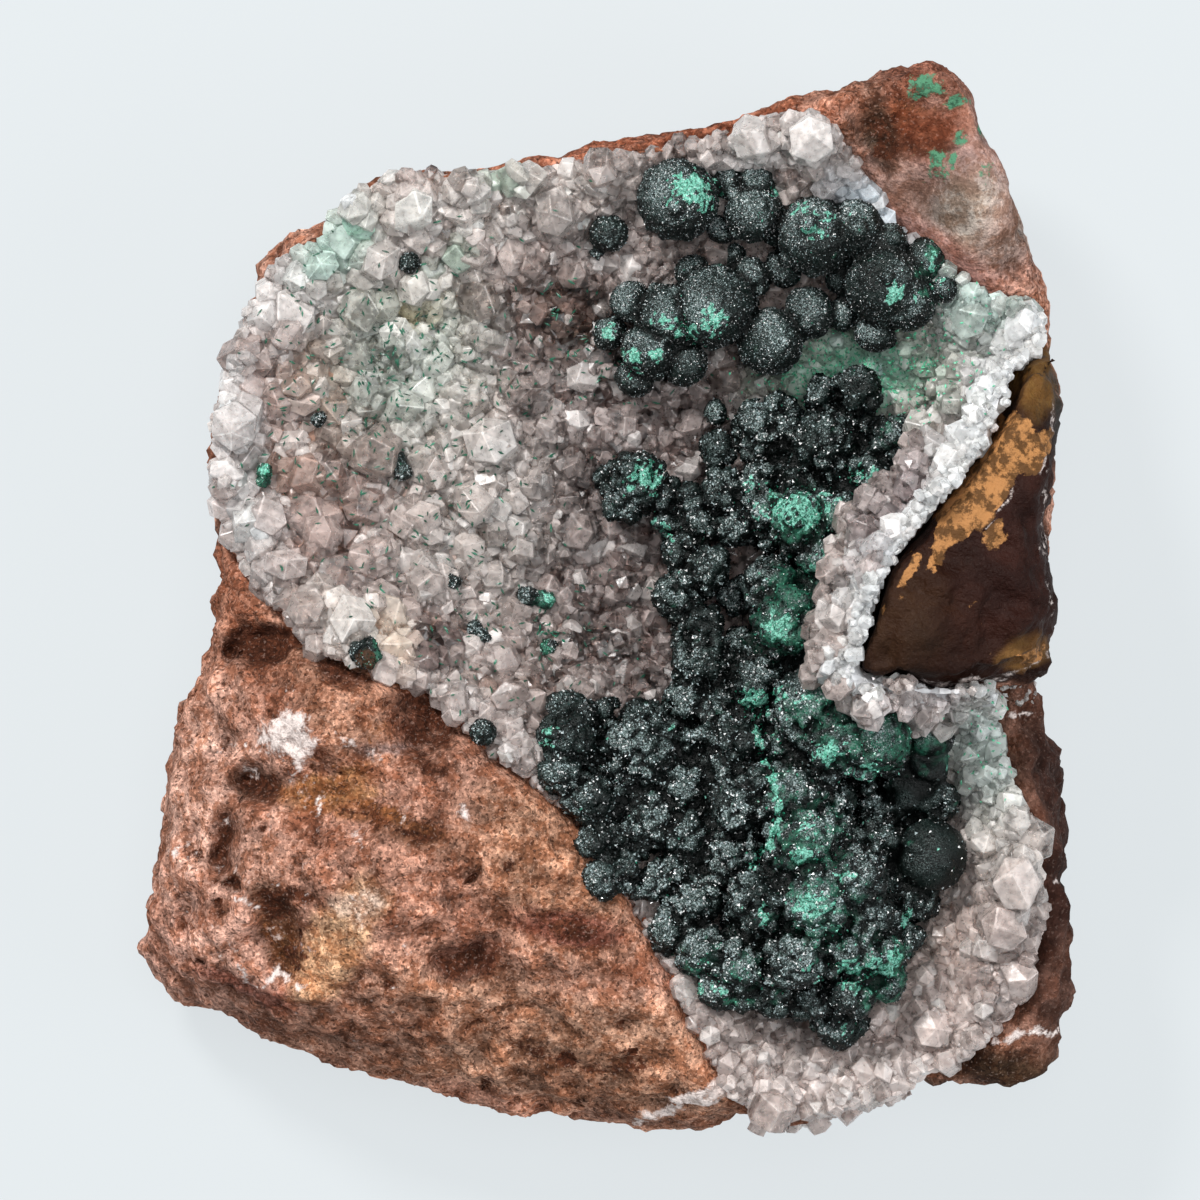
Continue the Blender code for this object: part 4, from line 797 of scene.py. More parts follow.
# Painted shade: the dark marks of the hollows and the pits.
colour = marked(colour, "dark", 0.40, 0.75, rgb(82, 46, 31), small_spots, 0.55)
colour = stone.mix(1.0, colour, stone.grey(shade), "MULTIPLY")
pale_tint = stone.mix(0.25, stone.mix(1.0, colour, (1.8, 1.8, 1.8), "MULTIPLY"), rgb(196, 172, 160))
colour = stone.mix(specks(0.34, 0.68, (0.31, 0.17, 0.53)), colour, pale_tint)
colour = stone.mix(specks(0.4, 0.67, (0.71, 0.39, 0.23)), colour, rgb(48, 28, 20))
colour = marked(colour, "white", 0.34, 1.0, rgb(244, 228, 222), small_spots, 0.68)
colour = marked(colour, "green", 0.42, 0.75, rgb(84, 136, 106), small_spots, 0.5)
colour = marked(colour, "ochre", 0.32, 0.62, rgb(176, 124, 76), wide_spots, 0.28)
rock_bump = stone.bump(grain_field, 0.2, 0.8)
rock_bump = stone.bump(stone.noise(1.4, 3.0, 0.7), 0.6, 0.7, rock_bump)
rough = stone.step(quiet, 0.0, 1.0, 0.9, 0.6)
stone.finish(Base_Color=colour, Roughness=rough, Specular_IOR_Level=0.12, Normal=rock_bump)
clothe(rock, stone.material)
finished(rock, "host_rock", "matrix_rock")

# %% [markdown]
# ## The quartz crust
#
# The crust is one skin of intergrown crystals. Underneath, a bed keeps the holes closed: it is a copy of
# the solid, melted a little, sunk, and crumbled with a cell texture, so that only its colour and its
# crumbs show between the crystals. The crust's outline says later where crystals may stand.

# %% Quartz: the bed
CRUST_OUTLINE = [
    (-37.8, 5.5), (-38.6, 9.5), (-39.4, 13.5), (-39.1, 17.5), (-38, 22), (-36.6, 26), (-35, 30),
    (-32.8, 33.8), (-28.8, 36), (-27, 38.7), (-23.8, 41.7), (-20, 43.2), (-15, 42.8), (-8, 43.2),
    (-1.5, 43.8), (4, 44.8), (10, 46), (16, 48), (21, 49), (24, 46.5), (25.8, 43.5), (28, 40.5),
    (30.5, 36.8), (34.5, 33.5), (38.5, 30.8), (43.5, 30), (44.8, 27.5), (43.8, 25), (40.8, 22.8),
    (40, 19.5), (38.4, 15.3), (35, 11.2), (31.9, 7.7), (28.5, 3.4), (27, -0.7), (26.2, -3.8),
    (24.8, -6.8), (25.3, -8.3), (30, -7.8), (32.6, -9.2), (38, -8.4), (40.3, -9.5), (40.1, -13.6),
    (41.7, -17.7), (42.2, -20.2), (44, -22.8), (44.4, -27), (45, -31), (43.9, -35.5),
    (42.5, -40.6), (39, -44.5), (36, -46.6), (32.7, -48), (30.5, -50), (25, -51.4), (19.5, -52.8),
    (16.5, -53.4), (14.5, -51.3), (12.2, -48.5), (10, -44.5), (8, -40), (6.2, -36), (4.5, -33),
    (2.2, -29), (-0.2, -25), (-2.5, -21.5), (-5.5, -19.7), (-8, -17), (-11.2, -15.2), (-14, -12.5),
    (-16.5, -9.7), (-20.5, -8), (-25, -6.7), (-29, -5), (-32.5, -1.2), (-35.5, 2.2),
]
BED_VOXEL = 0.6
SUNK = 0.35
malachite_nodes = [name for name in frame["nodes"] if name.startswith("malachite")]
malachite_tree = tree_of(*(frame["nodes"][name] for name in malachite_nodes))
bed = copy_of_node("quartz_crust", "quartz_bed")
modify(bed, "REMESH", mode="VOXEL", voxel_size=BED_VOXEL * MM, adaptivity=0.0)
modify(bed, "SMOOTH", factor=0.5, iterations=5)
bed_points, bed_normals = points_of(bed), normals_of(bed)
set_points(bed, bed_points - SUNK * bed_normals * (bed_normals[:, 2:] > 0))
crumbs = pattern("quartz_crumbs", "VORONOI", 1.3)
modify(bed, "DISPLACE", texture=crumbs, strength=-0.7 * MM, mid_level=0.5)
print("the bed has", triangles(bed), "triangles")

# %% [markdown]
# A quartz point is a six-sided prism with six tip faces, three of them larger than the others. Five
# such points are modelled by hand, from a six-sided cylinder: its top face is extruded to the tip and
# shrunk, every second shoulder corner is raised to make the faces unequal, and the tip is moved aside.
# The larger crystals get a second set with narrow cut edges, whose tone is a little brighter than the
# faces as a painted highlight.

# %% Quartz: five points, modelled once
EDGE_HIGHLIGHT_TONE = 0.10
NARROW = 0.09
CUT = 0.05


def as_master(piece, tones=None):
    """The corners, faces and face tones of a piece that is modelled once, to be copied many times."""
    corners = np.array([v.co for v in piece.data.vertices])
    faces = [tuple(p.vertices) for p in piece.data.polygons]
    bpy.data.objects.remove(piece)
    return corners, faces, np.zeros(len(faces)) if tones is None else tones


def model_point(name, tip_height, tip_size, lean, uneven, bevel=0.0):
    """One quartz point of radius 1, its shoulder at height 0. A bevel cuts its edges."""
    bpy.ops.object.select_all(action="DESELECT")
    bpy.ops.mesh.primitive_cylinder_add(vertices=6, radius=1.0, depth=1.6, location=(0, 0, -0.8))
    point = bpy.context.object
    point.name = name
    bpy.ops.object.transform_apply(location=True, rotation=True, scale=True)
    bpy.ops.object.mode_set(mode="EDIT")
    bpy.ops.mesh.select_all(action="DESELECT")
    mesh = bmesh.from_edit_mesh(point.data)
    mesh.faces.ensure_lookup_table()
    for face in mesh.faces:
        face.select_set(face.normal.z > 0.9)
    bmesh.update_edit_mesh(point.data)
    tip = (lean[0], lean[1], tip_height)
    bpy.ops.mesh.extrude_region_move(TRANSFORM_OT_translate={"value": tip})
    bpy.ops.transform.resize(value=(tip_size, tip_size, 1.0), center_override=tip)
    mesh = bmesh.from_edit_mesh(point.data)
    for vertex in mesh.verts:
        shoulder = abs(vertex.co.z) < 0.01
        turn = math.degrees(math.atan2(vertex.co.y, vertex.co.x)) % 120.0
        vertex.select_set(shoulder and turn < 50.0)
    mesh.select_flush_mode()
    bmesh.update_edit_mesh(point.data)
    bpy.ops.transform.translate(value=(0, 0, uneven))
    bpy.ops.object.mode_set(mode="OBJECT")
    if bevel:
        settings = {"segments": 1, "limit_method": "ANGLE", "angle_limit": math.radians(15)}
        modify(point, "BEVEL", width=bevel, **settings)
    # Painted highlight: the narrow faces of the cut edges get a brighter tone.
    edge_highlight_tones = np.array([EDGE_HIGHLIGHT_TONE * (bevel > 0 and p.area < NARROW) for p in point.data.polygons])
    return as_master(point, edge_highlight_tones)


POINT_SHAPES = [
    # tip height, tip size, tip moved aside, shoulder raised
    (0.85, 0.05, (0.05, 0), 0.20), (0.70, 0.06, (0.36, 0.14), 0.30),
    (0.60, 0.12, (0.12, -0.30), 0.20), (1.05, 0.04, (-0.16, 0.14), 0.34),
    (0.72, 0.08, (-0.40, -0.20), 0.34),
]
POINTS = [model_point("plain_point", *shape) for shape in POINT_SHAPES]
CUT_POINTS = [model_point("cut_point", *shape, bevel=CUT) for shape in POINT_SHAPES]
print("points of", [len(faces) for _, faces, _ in POINTS + CUT_POINTS], "faces")

# %% [markdown]
# Crystals are sown like seed: many places are tried at random on a surface, and one that is too close
# to a crystal that already stands there is dropped. A grid of cells makes that quick, because only the
# neighbours in the cells around a place have to be looked at.

# %% Helpers for sowing
def surface_samples(piece, count, chance, lowest_normal=-0.1):
    """Places spread evenly over a mesh's surface that looks up, with the way the surface faces."""
    mesh = piece.data
    mesh.calc_loop_triangles()
    corners = points_of(piece)
    index = np.empty(len(mesh.loop_triangles) * 3, np.int32)
    mesh.loop_triangles.foreach_get("vertices", index)
    a, b, c = (corners[index.reshape(-1, 3)[:, k]] for k in range(3))
    across = np.cross(b - a, c - a)
    area = np.linalg.norm(across, axis=1)
    normal = across / np.maximum(area, 1e-9)[:, None]
    area = area * (normal[:, 2] > lowest_normal)
    picked = chance.choice(len(area), count, p=area / area.sum())
    u, v = chance.random(count), chance.random(count)
    flip = u + v > 1
    u, v = np.where(flip, 1 - u, u), np.where(flip, 1 - v, v)
    place = a[picked] + u[:, None] * (b - a)[picked] + v[:, None] * (c - a)[picked]
    return place, normal[picked]


def sow(places, radii, spacing, older_places, older_radii):
    """Indices of places that keep their distance from the older crystals and from each other."""
    everyone, sizes = np.r_[older_places, places], np.r_[older_radii, radii]
    cell, grid, kept = 2.0 * spacing * sizes.max(), {}, []
    homes = (everyone // cell).astype(int)
    for index in range(len(everyone)):
        home, near = tuple(homes[index]), []
        if index >= len(older_places):
            for i in (-1, 0, 1):
                for j in (-1, 0, 1):
                    for k in (-1, 0, 1):
                        near += grid.get((home[0] + i, home[1] + j, home[2] + k), [])
            away = np.linalg.norm(everyone[near] - everyone[index], axis=1)
            if near and (away < spacing * (sizes[near] + sizes[index])).any():
                continue
            kept.append(index - len(older_places))
        grid.setdefault(home, []).append(index)
    return kept


# %% [markdown]
# The large crystals come first, where the photograph shows them: their tips are listed and dropped on the
# crust from above. One rule holds for all: outside the upper left rim the crust's edge is a low ledge that
# the rock covers, so nothing grows there.

# %% Quartz: the large crystals, listed
LARGE_TIPS = [
    (-36.6, 17.4, 2.3), (-22.8, 14.4, 2.3), (-11.2, 16.2, 2.6), (-12.5, 9.6, 2.1),
    (-17.6, 8.2, 1.8), (-30.6, 28.9, 2.6), (-28, 33.4, 1.8), (-24.8, -2, 2.6), (-22, 0.6, 2),
    (-4.6, 38.4, 2), (-11.4, 29.8, 2), (-7.6, 21, 1.8), (-35.6, 7.8, 2.2), (-33.5, 10.6, 1.4),
    (-27.5, 19.6, 2.4), (-18.5, 38.5, 2.4), (-31.5, 3.6, 2.2), (43, -24, 2.6), (41.6, -28.2, 2.7),
    (38.8, -24.6, 1.8), (40.5, -33, 2.3), (21, 45.6, 2.2), (15, 45.2, 2), (37, 27.8, 2),
    (17.6, -50, 2.2), (-4.4, -15.2, 2), (-9, -9.6, 2), (-2.2, 7, 1.8), (5.4, 1.2, 1.7),
    (-34.6, 22, 2), (-13, -5, 2.2), (-10, -6.4, 2), (-21.6, -1.6, 2.4), (-26.4, 2.4, 2.2),
    (-20, 3.4, 2.2), (-30, 8.6, 2.4), (-27, 12.2, 2), (-33, 25.8, 1.8), (-24.2, 29, 2.2),
    (-20, 19.8, 2.2), (-16.8, 24, 2.2), (-25, 24.4, 2), (-14.4, 34.6, 2), (-21.8, 34.2, 2.2),
    (-8.4, 34.4, 2), (-4, 11.6, 1.7), (-16.8, 12.8, 1.8), (33.4, -43, 1.9), (27, -47.6, 2),
    (22, -48.8, 1.8), (37.4, -37.6, 2), (42, -37.2, 1.8), (39.6, -14.6, 1.6), (36.8, -11.6, 1.6),
    (-37.4, 13, 1.8),
]
chance = np.random.default_rng(SEED)
crust_node = frame["nodes"]["quartz_crust"]
block_tree = tree_of(crust_node, rock)
sky = Vector((0, 0, 1))
tips = [crust_tree.ray_cast(Vector((x + CENTRE[0], y + CENTRE[1], 90)), -sky) for x, y, _ in LARGE_TIPS]
sown_places = np.array([hit for hit, _, _, _ in tips if hit])
sown_normals = np.array([normal for hit, normal, _, _ in tips if hit]) * 0.4 + np.array([0, 0, 0.6])
sown_radii = np.array([tip[2] for tip, (hit, _, _, _) in zip(LARGE_TIPS, tips) if hit])


def on_ledge(places):
    """True on the low ledge outside the upper left rim, where the crust's edge is covered by rock."""
    sheet = places[:, :2] - CENTRE
    at_edge = signed_distance(sheet, CRUST_OUTLINE) < 4.0
    low = places[:, 2] < np.where(sheet[:, 1] > 24.0, 27.0, 25.5)
    return at_edge & low & (sheet[:, 1] > 12.0) & (sheet[:, 0] < 8.0)


print(len(sown_places), "large crystals")

# %% [markdown]
# Four sizes are then sown one after the other, each between the larger ones before it, as crystals that
# started late fill the gaps. The largest stand mostly at the left and near the block. Places under the
# malachite are left out, and so are steep walls at the left.

# %% Quartz: sowing four sizes
SOWINGS = [
    # tries, smallest and largest radius, spacing
    (4000, 1.35, 1.95, 0.56), (16000, 0.9, 1.35, 0.46), (40000, 0.58, 0.90, 0.50),
    (16000, 0.36, 0.50, 0.95),
]
for tries, smallest, largest, spacing in SOWINGS:
    places, normals = surface_samples(crust_node, tries, chance)
    radii = chance.uniform(smallest, largest, tries)
    sheet = places[:, :2] - CENTRE
    leftness = 1.0 - smooth_step(sheet[:, 0], -28.0, 0.0)
    from_block = -signed_distance(sheet, BLOCK_TOP)
    keep = signed_distance(sheet, CRUST_OUTLINE) > 0.55 * radii
    keep &= (normals[:, 2] > 0.05) | (sheet[:, 0] > 8.0)
    keep &= ~on_ledge(places)
    if smallest > 1.2:
        keep &= chance.random(tries) < 0.35 + 0.60 * leftness + (from_block < 6.0)
    if smallest > 0.6:
        keep &= from_block > 2.0
    radii *= 0.88 + 0.18 * leftness
    hidden = [malachite_tree.ray_cast(Vector(p) + 0.1 * sky, sky, 3.0)[0] for p in places]
    keep &= np.array([hit is None for hit in hidden])
    places, normals, radii = places[keep], normals[keep], radii[keep]
    kept = sow(places, radii, spacing, sown_places, sown_radii)
    sown_places = np.r_[sown_places, places[kept]]
    sown_radii = np.r_[sown_radii, radii[kept]]
    sown_normals = np.r_[sown_normals, normals[kept]]
    print(len(kept), "crystals of radius", smallest, "to", largest, "mm")

# %% [markdown]
# The druse is milky pink-grey at the left, grey-green in the middle, clear and dark in the bowl, emerald
# under the lower malachite ball, and sugar-white in the band along the block. Each crystal takes one
# colour and one clearness from where it grows, and one in ten is brighter than its neighbours.

# %% Quartz: the colours of the places
QUARTZ_DABS = [
    # colour, how clear, x, y, wide, high, turn, strength
    ((196, 179, 175), 0.66, 4, 8, 13, 24, 0, 0.95),
    ((150, 122, 112), 0.7, -3, 29, 6, 3.6, -20, 0.9),
    ((212, 184, 176), 0.42, -30, 15, 9, 14, 10, 0.7),
    ((216, 224, 214), 0.32, -20, 24, 8, 9, -30, 0.8),
    ((222, 214, 208), 0.25, -12, 10, 8, 10, 0, 0.6),
    ((236, 230, 228), 0.12, -36, 16, 2.6, 13, 10, 0.9),
    ((236, 232, 230), 0.15, -31, 30, 4, 4, 0, 0.8),
    ((206, 236, 224), 0.15, -26.5, 36.5, 5, 3, 45, 0.9),
    ((232, 222, 216), 0.30, -12, 40, 14, 3.4, 8, 0.8),
    ((218, 208, 180), 0.35, -18, 29.5, 2.6, 2.4, 0, 0.8),
    ((230, 220, 216), 0.25, 18, 45, 9, 3.4, 20, 0.9),
    ((212, 222, 230), 0.15, 27.5, 39, 5, 2.6, -48, 0.95),
    ((204, 226, 218), 0.30, 37, 29, 6, 4, -30, 0.9),
    ((190, 242, 218), 0.08, 25, 22.6, 8, 4.2, 0, 0.95),
    ((230, 230, 230), 0.08, 38, 20, 2.6, 6, -30, 1),
    ((204, 190, 194), 0.50, 30, 9, 3, 6, -35, 0.7),
    ((240, 234, 236), 0.15, 27, 1, 1.8, 7, -12, 0.9),
    ((236, 224, 222), 0.30, 31, -10.5, 5, 2.4, 0, 0.8),
    ((214, 226, 220), 0.25, 39, -16, 4, 7, 0, 0.9), ((230, 220, 214), 0.35, 41, -26, 4, 6, 0, 0.9),
    ((218, 200, 194), 0.35, 40, -34, 5, 6, 20, 0.8),
    ((240, 216, 206), 0.28, 33, -36, 5, 9, 0, 0.85),
    ((230, 214, 208), 0.20, 24, -48.5, 14, 3.6, 10, 0.85),
    ((230, 210, 204), 0.28, 30, -41, 8, 4, 20, 0.7),
    ((206, 188, 182), 0.45, -5, -8, 6, 6, -40, 0.6),
    ((242, 232, 224), 0.15, -25.5, -2, 4, 3, -20, 0.9),
    ((240, 216, 196), 0.20, -20.5, -4, 3, 2, -30, 0.8),
    ((140, 118, 114), 0.8, -16.5, -3.6, 3, 2.2, -30, 0.9),
    ((232, 220, 216), 0.25, -8, -15, 9, 1.6, -40, 0.8),
    ((176, 128, 104), 0.5, -10, -8.6, 3, 1, -20, 0.5),
    ((160, 214, 190), 0.25, -14.6, 34.6, 1.8, 1.4, 0, 0.45),
    ((176, 140, 122), 0.5, -2.6, 27.4, 2.6, 1.2, -20, 0.5),
    ((196, 150, 120), 0.4, -28, 21, 2, 5, 20, 0.4),
    ((170, 128, 106), 0.5, -29.5, 12, 5, 2, -30, 0.5),
    ((150, 226, 196), 0.2, -24, 37.6, 0.8, 1.3, -20, 0.6),
    ((140, 190, 164), 0.3, -9.4, 42.4, 2.4, 0.8, -10, 0.5),
]


def quartz_colours(places, chance):
    """Colour and clearness of each crystal, by where it grows, with its own small difference."""
    sheet = ragged(places, 5.0, 2.4, 5)
    tint = np.tile(np.r_[rgb(216, 199, 193), 0.42], (len(places), 1))
    for colour, clear, x, y, wide, high, turn, strength in QUARTZ_DABS:
        tint = paint(tint, np.r_[rgb(*colour), clear], strength * dab(sheet, x, y, wide, high, turn))
    sugar = dab(-signed_distance(sheet, BLOCK_TOP)[:, None] * [1, 0], 1.0, 0.0, 1.5, 1.0, 0, 0.4)
    tint = paint(tint, np.r_[rgb(250, 248, 246), 0.03], 0.9 * sugar * (sheet[:, 1] > -9.0))
    own = np.exp(chance.normal(0.0, 0.08, len(places)))
    bright = chance.random(len(places)) < 0.10
    tint[bright, :3] += (rgb(240, 234, 230) - tint[bright, :3]) * 0.45
    tint[:, :3] = np.clip(tint[:, :3] * own[:, None], 0.0, 0.88)
    clear = tint[:, 3] * np.where(bright, 0.4, 1.0) + chance.normal(0.0, 0.16, len(places))
    tint[:, 3] = np.clip(clear, 0.02, 0.9)
    return tint


print(len(QUARTZ_DABS), "dabs of colour for the crystals")

# %% [markdown]
# Thousands of copies of five points would be slow as objects. So the corners of a point are turned,
# scaled and moved for all its copies at once, and everything is written as one mesh. The same helper
# serves the rods, the balls and the grains further down.

# %% Helpers for copying
def upright_frames(axes, chance):
    """A turn for each axis: three columns, the last one along the axis."""
    axes = axes / np.linalg.norm(axes, axis=1)[:, None]
    any_way = chance.normal(size=axes.shape)
    side = np.cross(axes, any_way)
    side /= np.linalg.norm(side, axis=1)[:, None]
    return np.stack([side, np.cross(axes, side), axes], axis=2)


def joined_copies(name, masters, picks, places, turns, scales, tints, chance, facet_spread=0.05):
    """One mesh of many turned and scaled copies of a few masters, each copy with its own colour."""
    corners, faces, colours, facets, start = [], [], [], [], 0
    for which, (shape, shape_faces, edge_highlight_tones) in enumerate(masters):
        mine = np.nonzero(picks == which)[0]
        if not len(mine):
            continue
        placed = np.einsum("nij,nkj->nki", turns[mine], shape[None] * scales[mine][:, None, :])
        placed += places[mine][:, None, :]
        corners.append(placed.reshape(-1, 3))
        for copy in range(len(mine)):
            offset = start + copy * len(shape)
            faces += [tuple(offset + corner for corner in face) for face in shape_faces]
        colours.append(np.repeat(tints[mine], len(shape), axis=0))
        tones = chance.normal(0.0, facet_spread, len(mine) * len(shape_faces))
        facets.append(tones + np.tile(edge_highlight_tones, len(mine)))
        start += len(mine) * len(shape)
    mesh = bpy.data.meshes.new(name)
    mesh.from_pydata((np.concatenate(corners) * MM).tolist(), [], faces)
    mesh.update()
    piece = bpy.data.objects.new(name, mesh)
    bpy.context.scene.collection.objects.link(piece)
    colours = np.concatenate(colours)
    give_attribute(piece, "tint", colours[:, :3])
    if colours.shape[1] > 3:
        give_attribute(piece, "clear", colours[:, 3])
    give_attribute(piece, "facet", np.concatenate(facets), "FACE")
    return piece


# %% [markdown]
# Milky quartz lets part of the light in and throws the rest back from its cloudy inside. The finish is a
# body with the index of quartz, 1.54. Part of it transmits, by how clear the crystal is and by thin veils,
# and the rest scatters the light 2 mm deep. Each facet has a tone of its own, as if it were etched more or
# less, the narrow cut edges are painted a little brighter and less clear as a highlight, and a faint bump
# breaks the reflections.

# %% Quartz: finish
milky = Recipe("milky_quartz")
cloud = milky.step(milky.noise(1.0, 2.0, 0.6), 0.3, 0.7, 0.82, 1.12)
# The facet tone carries the painted highlight of the cut edges, which also makes them less clear below.
facet_tone = milky.math("ADD", cloud, milky.read("facet"))
body = milky.mix(1.0, milky.read("tint", "Color"), milky.grey(facet_tone), "MULTIPLY")
etched = milky.step(milky.noise(0.5, 1.0, 0.6), 0.35, 0.75, 0.26, 0.44)
veils = milky.step(milky.noise(0.9, 2.0, 0.6), 0.25, 0.75, -0.06, 0.36)
see_through = milky.math("ADD", milky.read("clear"), veils)
see_through = milky.math("SUBTRACT", see_through, milky.read("facet"))
see_through.node.use_clamp = True
milky.finish(
    Base_Color=body, Roughness=etched, IOR=1.544, Specular_IOR_Level=0.4,
    Transmission_Weight=see_through,
    Subsurface_Weight=0.35, Subsurface_Scale=2.2 * MM, Subsurface_Radius=(1.0, 0.9, 0.86),
    Normal=milky.bump(milky.noise(0.35, 1.0, 0.6), 0.03, 0.5),
)

# %% [markdown]
# Along the block's foot the crust ends in a band of fine white crystals. They are set one every 0.2 mm
# along the outline and up to 2 mm inside it, where a ray from above meets the crust or the rock.

# %% Quartz: the white band along the block
EDGE_STEP = 0.2
for (ax, ay), (bx, by) in zip(BLOCK_TOP[2:15], BLOCK_TOP[3:16]):
    steps = max(1, round(math.hypot(bx - ax, by - ay) / EDGE_STEP))
    for step in range(steps):
        along = (step + chance.random()) / steps
        x, y = ax + (bx - ax) * along, ay + (by - ay) * along
        away = Vector((by - ay, ax - bx)).normalized() * chance.uniform(-2.0, 0.15)
        over = Vector((x - away.x + CENTRE[0], y - away.y + CENTRE[1], 90.0))
        hit, _, _, _ = block_tree.ray_cast(over, -sky)
        if hit:
            sown_places = np.r_[sown_places, [[hit.x, hit.y, hit.z - 0.25]]]
            sown_radii = np.r_[sown_radii, chance.uniform(0.25, 0.5)]
            sown_normals = np.r_[sown_normals, [[0.0, 0.0, 1.0]]]
print(len(sown_places), "crystals with the band")

# %% [markdown]
# Now every place gets its crystal. It leans between the surface it grows on and straight up, with a tilt
# of its own, is a little shorter or slimmer than its neighbours, and is sunk in the bed by up to a
# third of its radius. The crystals are handed over in six pieces: large and small, from left to right.

# %% Quartz: the crystals
LARGE_FROM = 0.8
LEFT_UP_TO, RIGHT_FROM = -14.0, 12.0
tilt = chance.normal(0.0, 0.25, sown_normals.shape)
turns = upright_frames(0.6 * sown_normals + np.array([0, 0, 0.4]) + tilt, chance)
length = chance.uniform(0.65, 1.1, len(sown_radii))
width = chance.uniform(0.75, 1.1, len(sown_radii))
scales = np.c_[sown_radii * 1.1, sown_radii * width, sown_radii * length]
rise = chance.uniform(-0.35, 0.1, len(sown_radii)) * sown_radii
feet = sown_places + sown_normals * rise[:, None]
picks = chance.integers(0, len(POINTS), len(sown_radii))
tints = quartz_colours(sown_places, chance)
is_cut = sown_radii > LARGE_FROM
at_left, at_right = sown_places[:, 0] < LEFT_UP_TO, sown_places[:, 0] >= RIGHT_FROM
sides = {"left": at_left, "right": at_right, "middle": ~at_left & ~at_right}
for side, there in sides.items():
    for size, masters, chosen in (("large", CUT_POINTS, is_cut), ("small", POINTS, ~is_cut)):
        mine = there & chosen
        piece = joined_copies(
            f"quartz_points_{size}_{side}", masters, picks[mine], feet[mine], turns[mine], scales[mine],
            tints[mine], chance,
        )
        clothe(piece, milky.material)
        finished(piece, "quartz")

# %% [markdown]
# The bed takes the colours of the crystals above it, a little darker, with rust in the gaps at the left
# and white along the block. Its rim and its underside are where the rock comes up to the
# crust's edge, and they wear the rock's finish, so that no bare skin of quartz shows around the druse.

# %% Quartz: the colours of the bed
RIM_WIDTHS = (0.3, 0.9)
bed_tints = quartz_colours(points_of(bed), chance)[:, :3]
bed_sheet = ragged(points_of(bed), 4.0, 2.0, 6)
BED_DABS = [
    # colour, x, y, wide, high, turn, strength
    ((150, 108, 86), -29, 16, 10, 16, 10, 0.9), ((150, 116, 100), -12, 0, 14, 8, -30, 0.6),
    ((110, 84, 76), 2, 16, 10, 20, 0, 0.7), ((190, 242, 216), 25, 23, 8, 4, 0, 0.9),
]
bed_tints = paint_dabs(bed_tints, bed_sheet, BED_DABS)
rim_sheet = bed_sheet * 0.2 + (points_of(bed)[:, :2] - CENTRE) * 0.8
inside = smooth_step(signed_distance(rim_sheet, CRUST_OUTLINE), *RIM_WIDTHS)
covered = (bed_normals[:, 2] < 0.02) | on_ledge(bed_points)
rim = np.maximum(1.0 - inside, covered) * (bed_sheet[:, 0] < 22.0)
from_edge = signed_distance(bed_sheet, BLOCK_TOP)
sugar = dab(np.c_[from_edge, np.zeros(len(from_edge))], -1.0, 0.0, 1.6, 1.0, 0, 0.4)
bed_tints = paint(bed_tints * 0.92, rgb(228, 228, 230), sugar)
give_attribute(bed, "tint", bed_tints)
give_attribute(bed, "ground", np.tile(rgb(136, 86, 64), (len(bed_tints), 1)))
bed_finish = Recipe("quartz_bed")
bed_finish.finish(Base_Color=bed_finish.read("tint", "Color"), Roughness=0.5, IOR=1.544)
clothe(bed, bed_finish.material)
bed.data.materials.append(stone.material)
first_corners = np.array([polygon.vertices[0] for polygon in bed.data.polygons])
bed.data.polygons.foreach_set("material_index", (rim[first_corners] > 0.5).astype(np.int32))
finished(bed, "quartz", "quartz_crust")

# %% [markdown]
# Where the druse is grey-green, hundreds of tiny dark green rods of malachite lie on the quartz, thickest
# in the upper left. Each is one stretched eight-sided crumb, dropped from above on the crystals.

# %% Quartz: green rods and flecks on it
bpy.ops.object.select_all(action="DESELECT")
bpy.ops.mesh.primitive_uv_sphere_add(segments=4, ring_count=2, radius=1.0, location=(0, 0, 0))
CRUMB = as_master(bpy.context.object)
RODS = [
    # how many, x, y, spread along x and y
    (220, -20, 25, 5.5, 6.5), (110, -22, 15, 6, 8), (90, -13, 8, 6, 8), (60, -5, 27, 4, 5),
    (70, -14, -3, 6, 5), (40, -2, -3, 4, 4), (40, -30, 20, 3, 7), (60, 3, 24, 3, 3),
    (760, 25, 22.4, 4.6, 2.2), (110, 33, 25, 3, 3.4), (60, 39, -14, 2, 3),
    (30, -5.6, -3.4, 0.4, 1.4),
]
EMERALD_FROM_X = 12.0
quartz_tree = tree_of(*(o for o in bpy.data.objects if o.name.startswith("quartz_points")))
rod_places, rod_normals = [], []
for count, x, y, spread_x, spread_y in RODS:
    for dx, dy in chance.normal(0.0, 1.0, (count, 2)):
        over = Vector((x + dx * spread_x + CENTRE[0], y + dy * spread_y + CENTRE[1], 90.0))
        hit, normal, _, _ = quartz_tree.ray_cast(over, -sky)
        if hit and normal.z > 0.3 and malachite_tree.ray_cast(over, -sky)[0] is None:
            rod_places.append(hit)
            rod_normals.append(normal)
rod_places, rod_normals = np.array(rod_places), np.array(rod_normals)
count = len(rod_places)
is_emerald = rod_places[:, 0] > EMERALD_FROM_X
rod_lengths, rod_widths = chance.uniform(0.28, 0.5, count), chance.uniform(0.09, 0.15, count)
rod_scales = np.c_[rod_lengths, rod_widths, np.full(count, 0.14)]
rod_scales[is_emerald, :2] *= [0.6, 0.9]
rod_colours = np.where(is_emerald[:, None], rgb(96, 188, 150), rgb(26, 92, 70))
rod_colours = rod_colours * np.exp(chance.normal(0.0, 0.35, count))[:, None]
rods = joined_copies(
    "green_rods", [CRUMB], np.zeros(count, int), rod_places, upright_frames(rod_normals, chance),
    rod_scales, rod_colours, chance,
)
rod_finish = Recipe("green_rods")
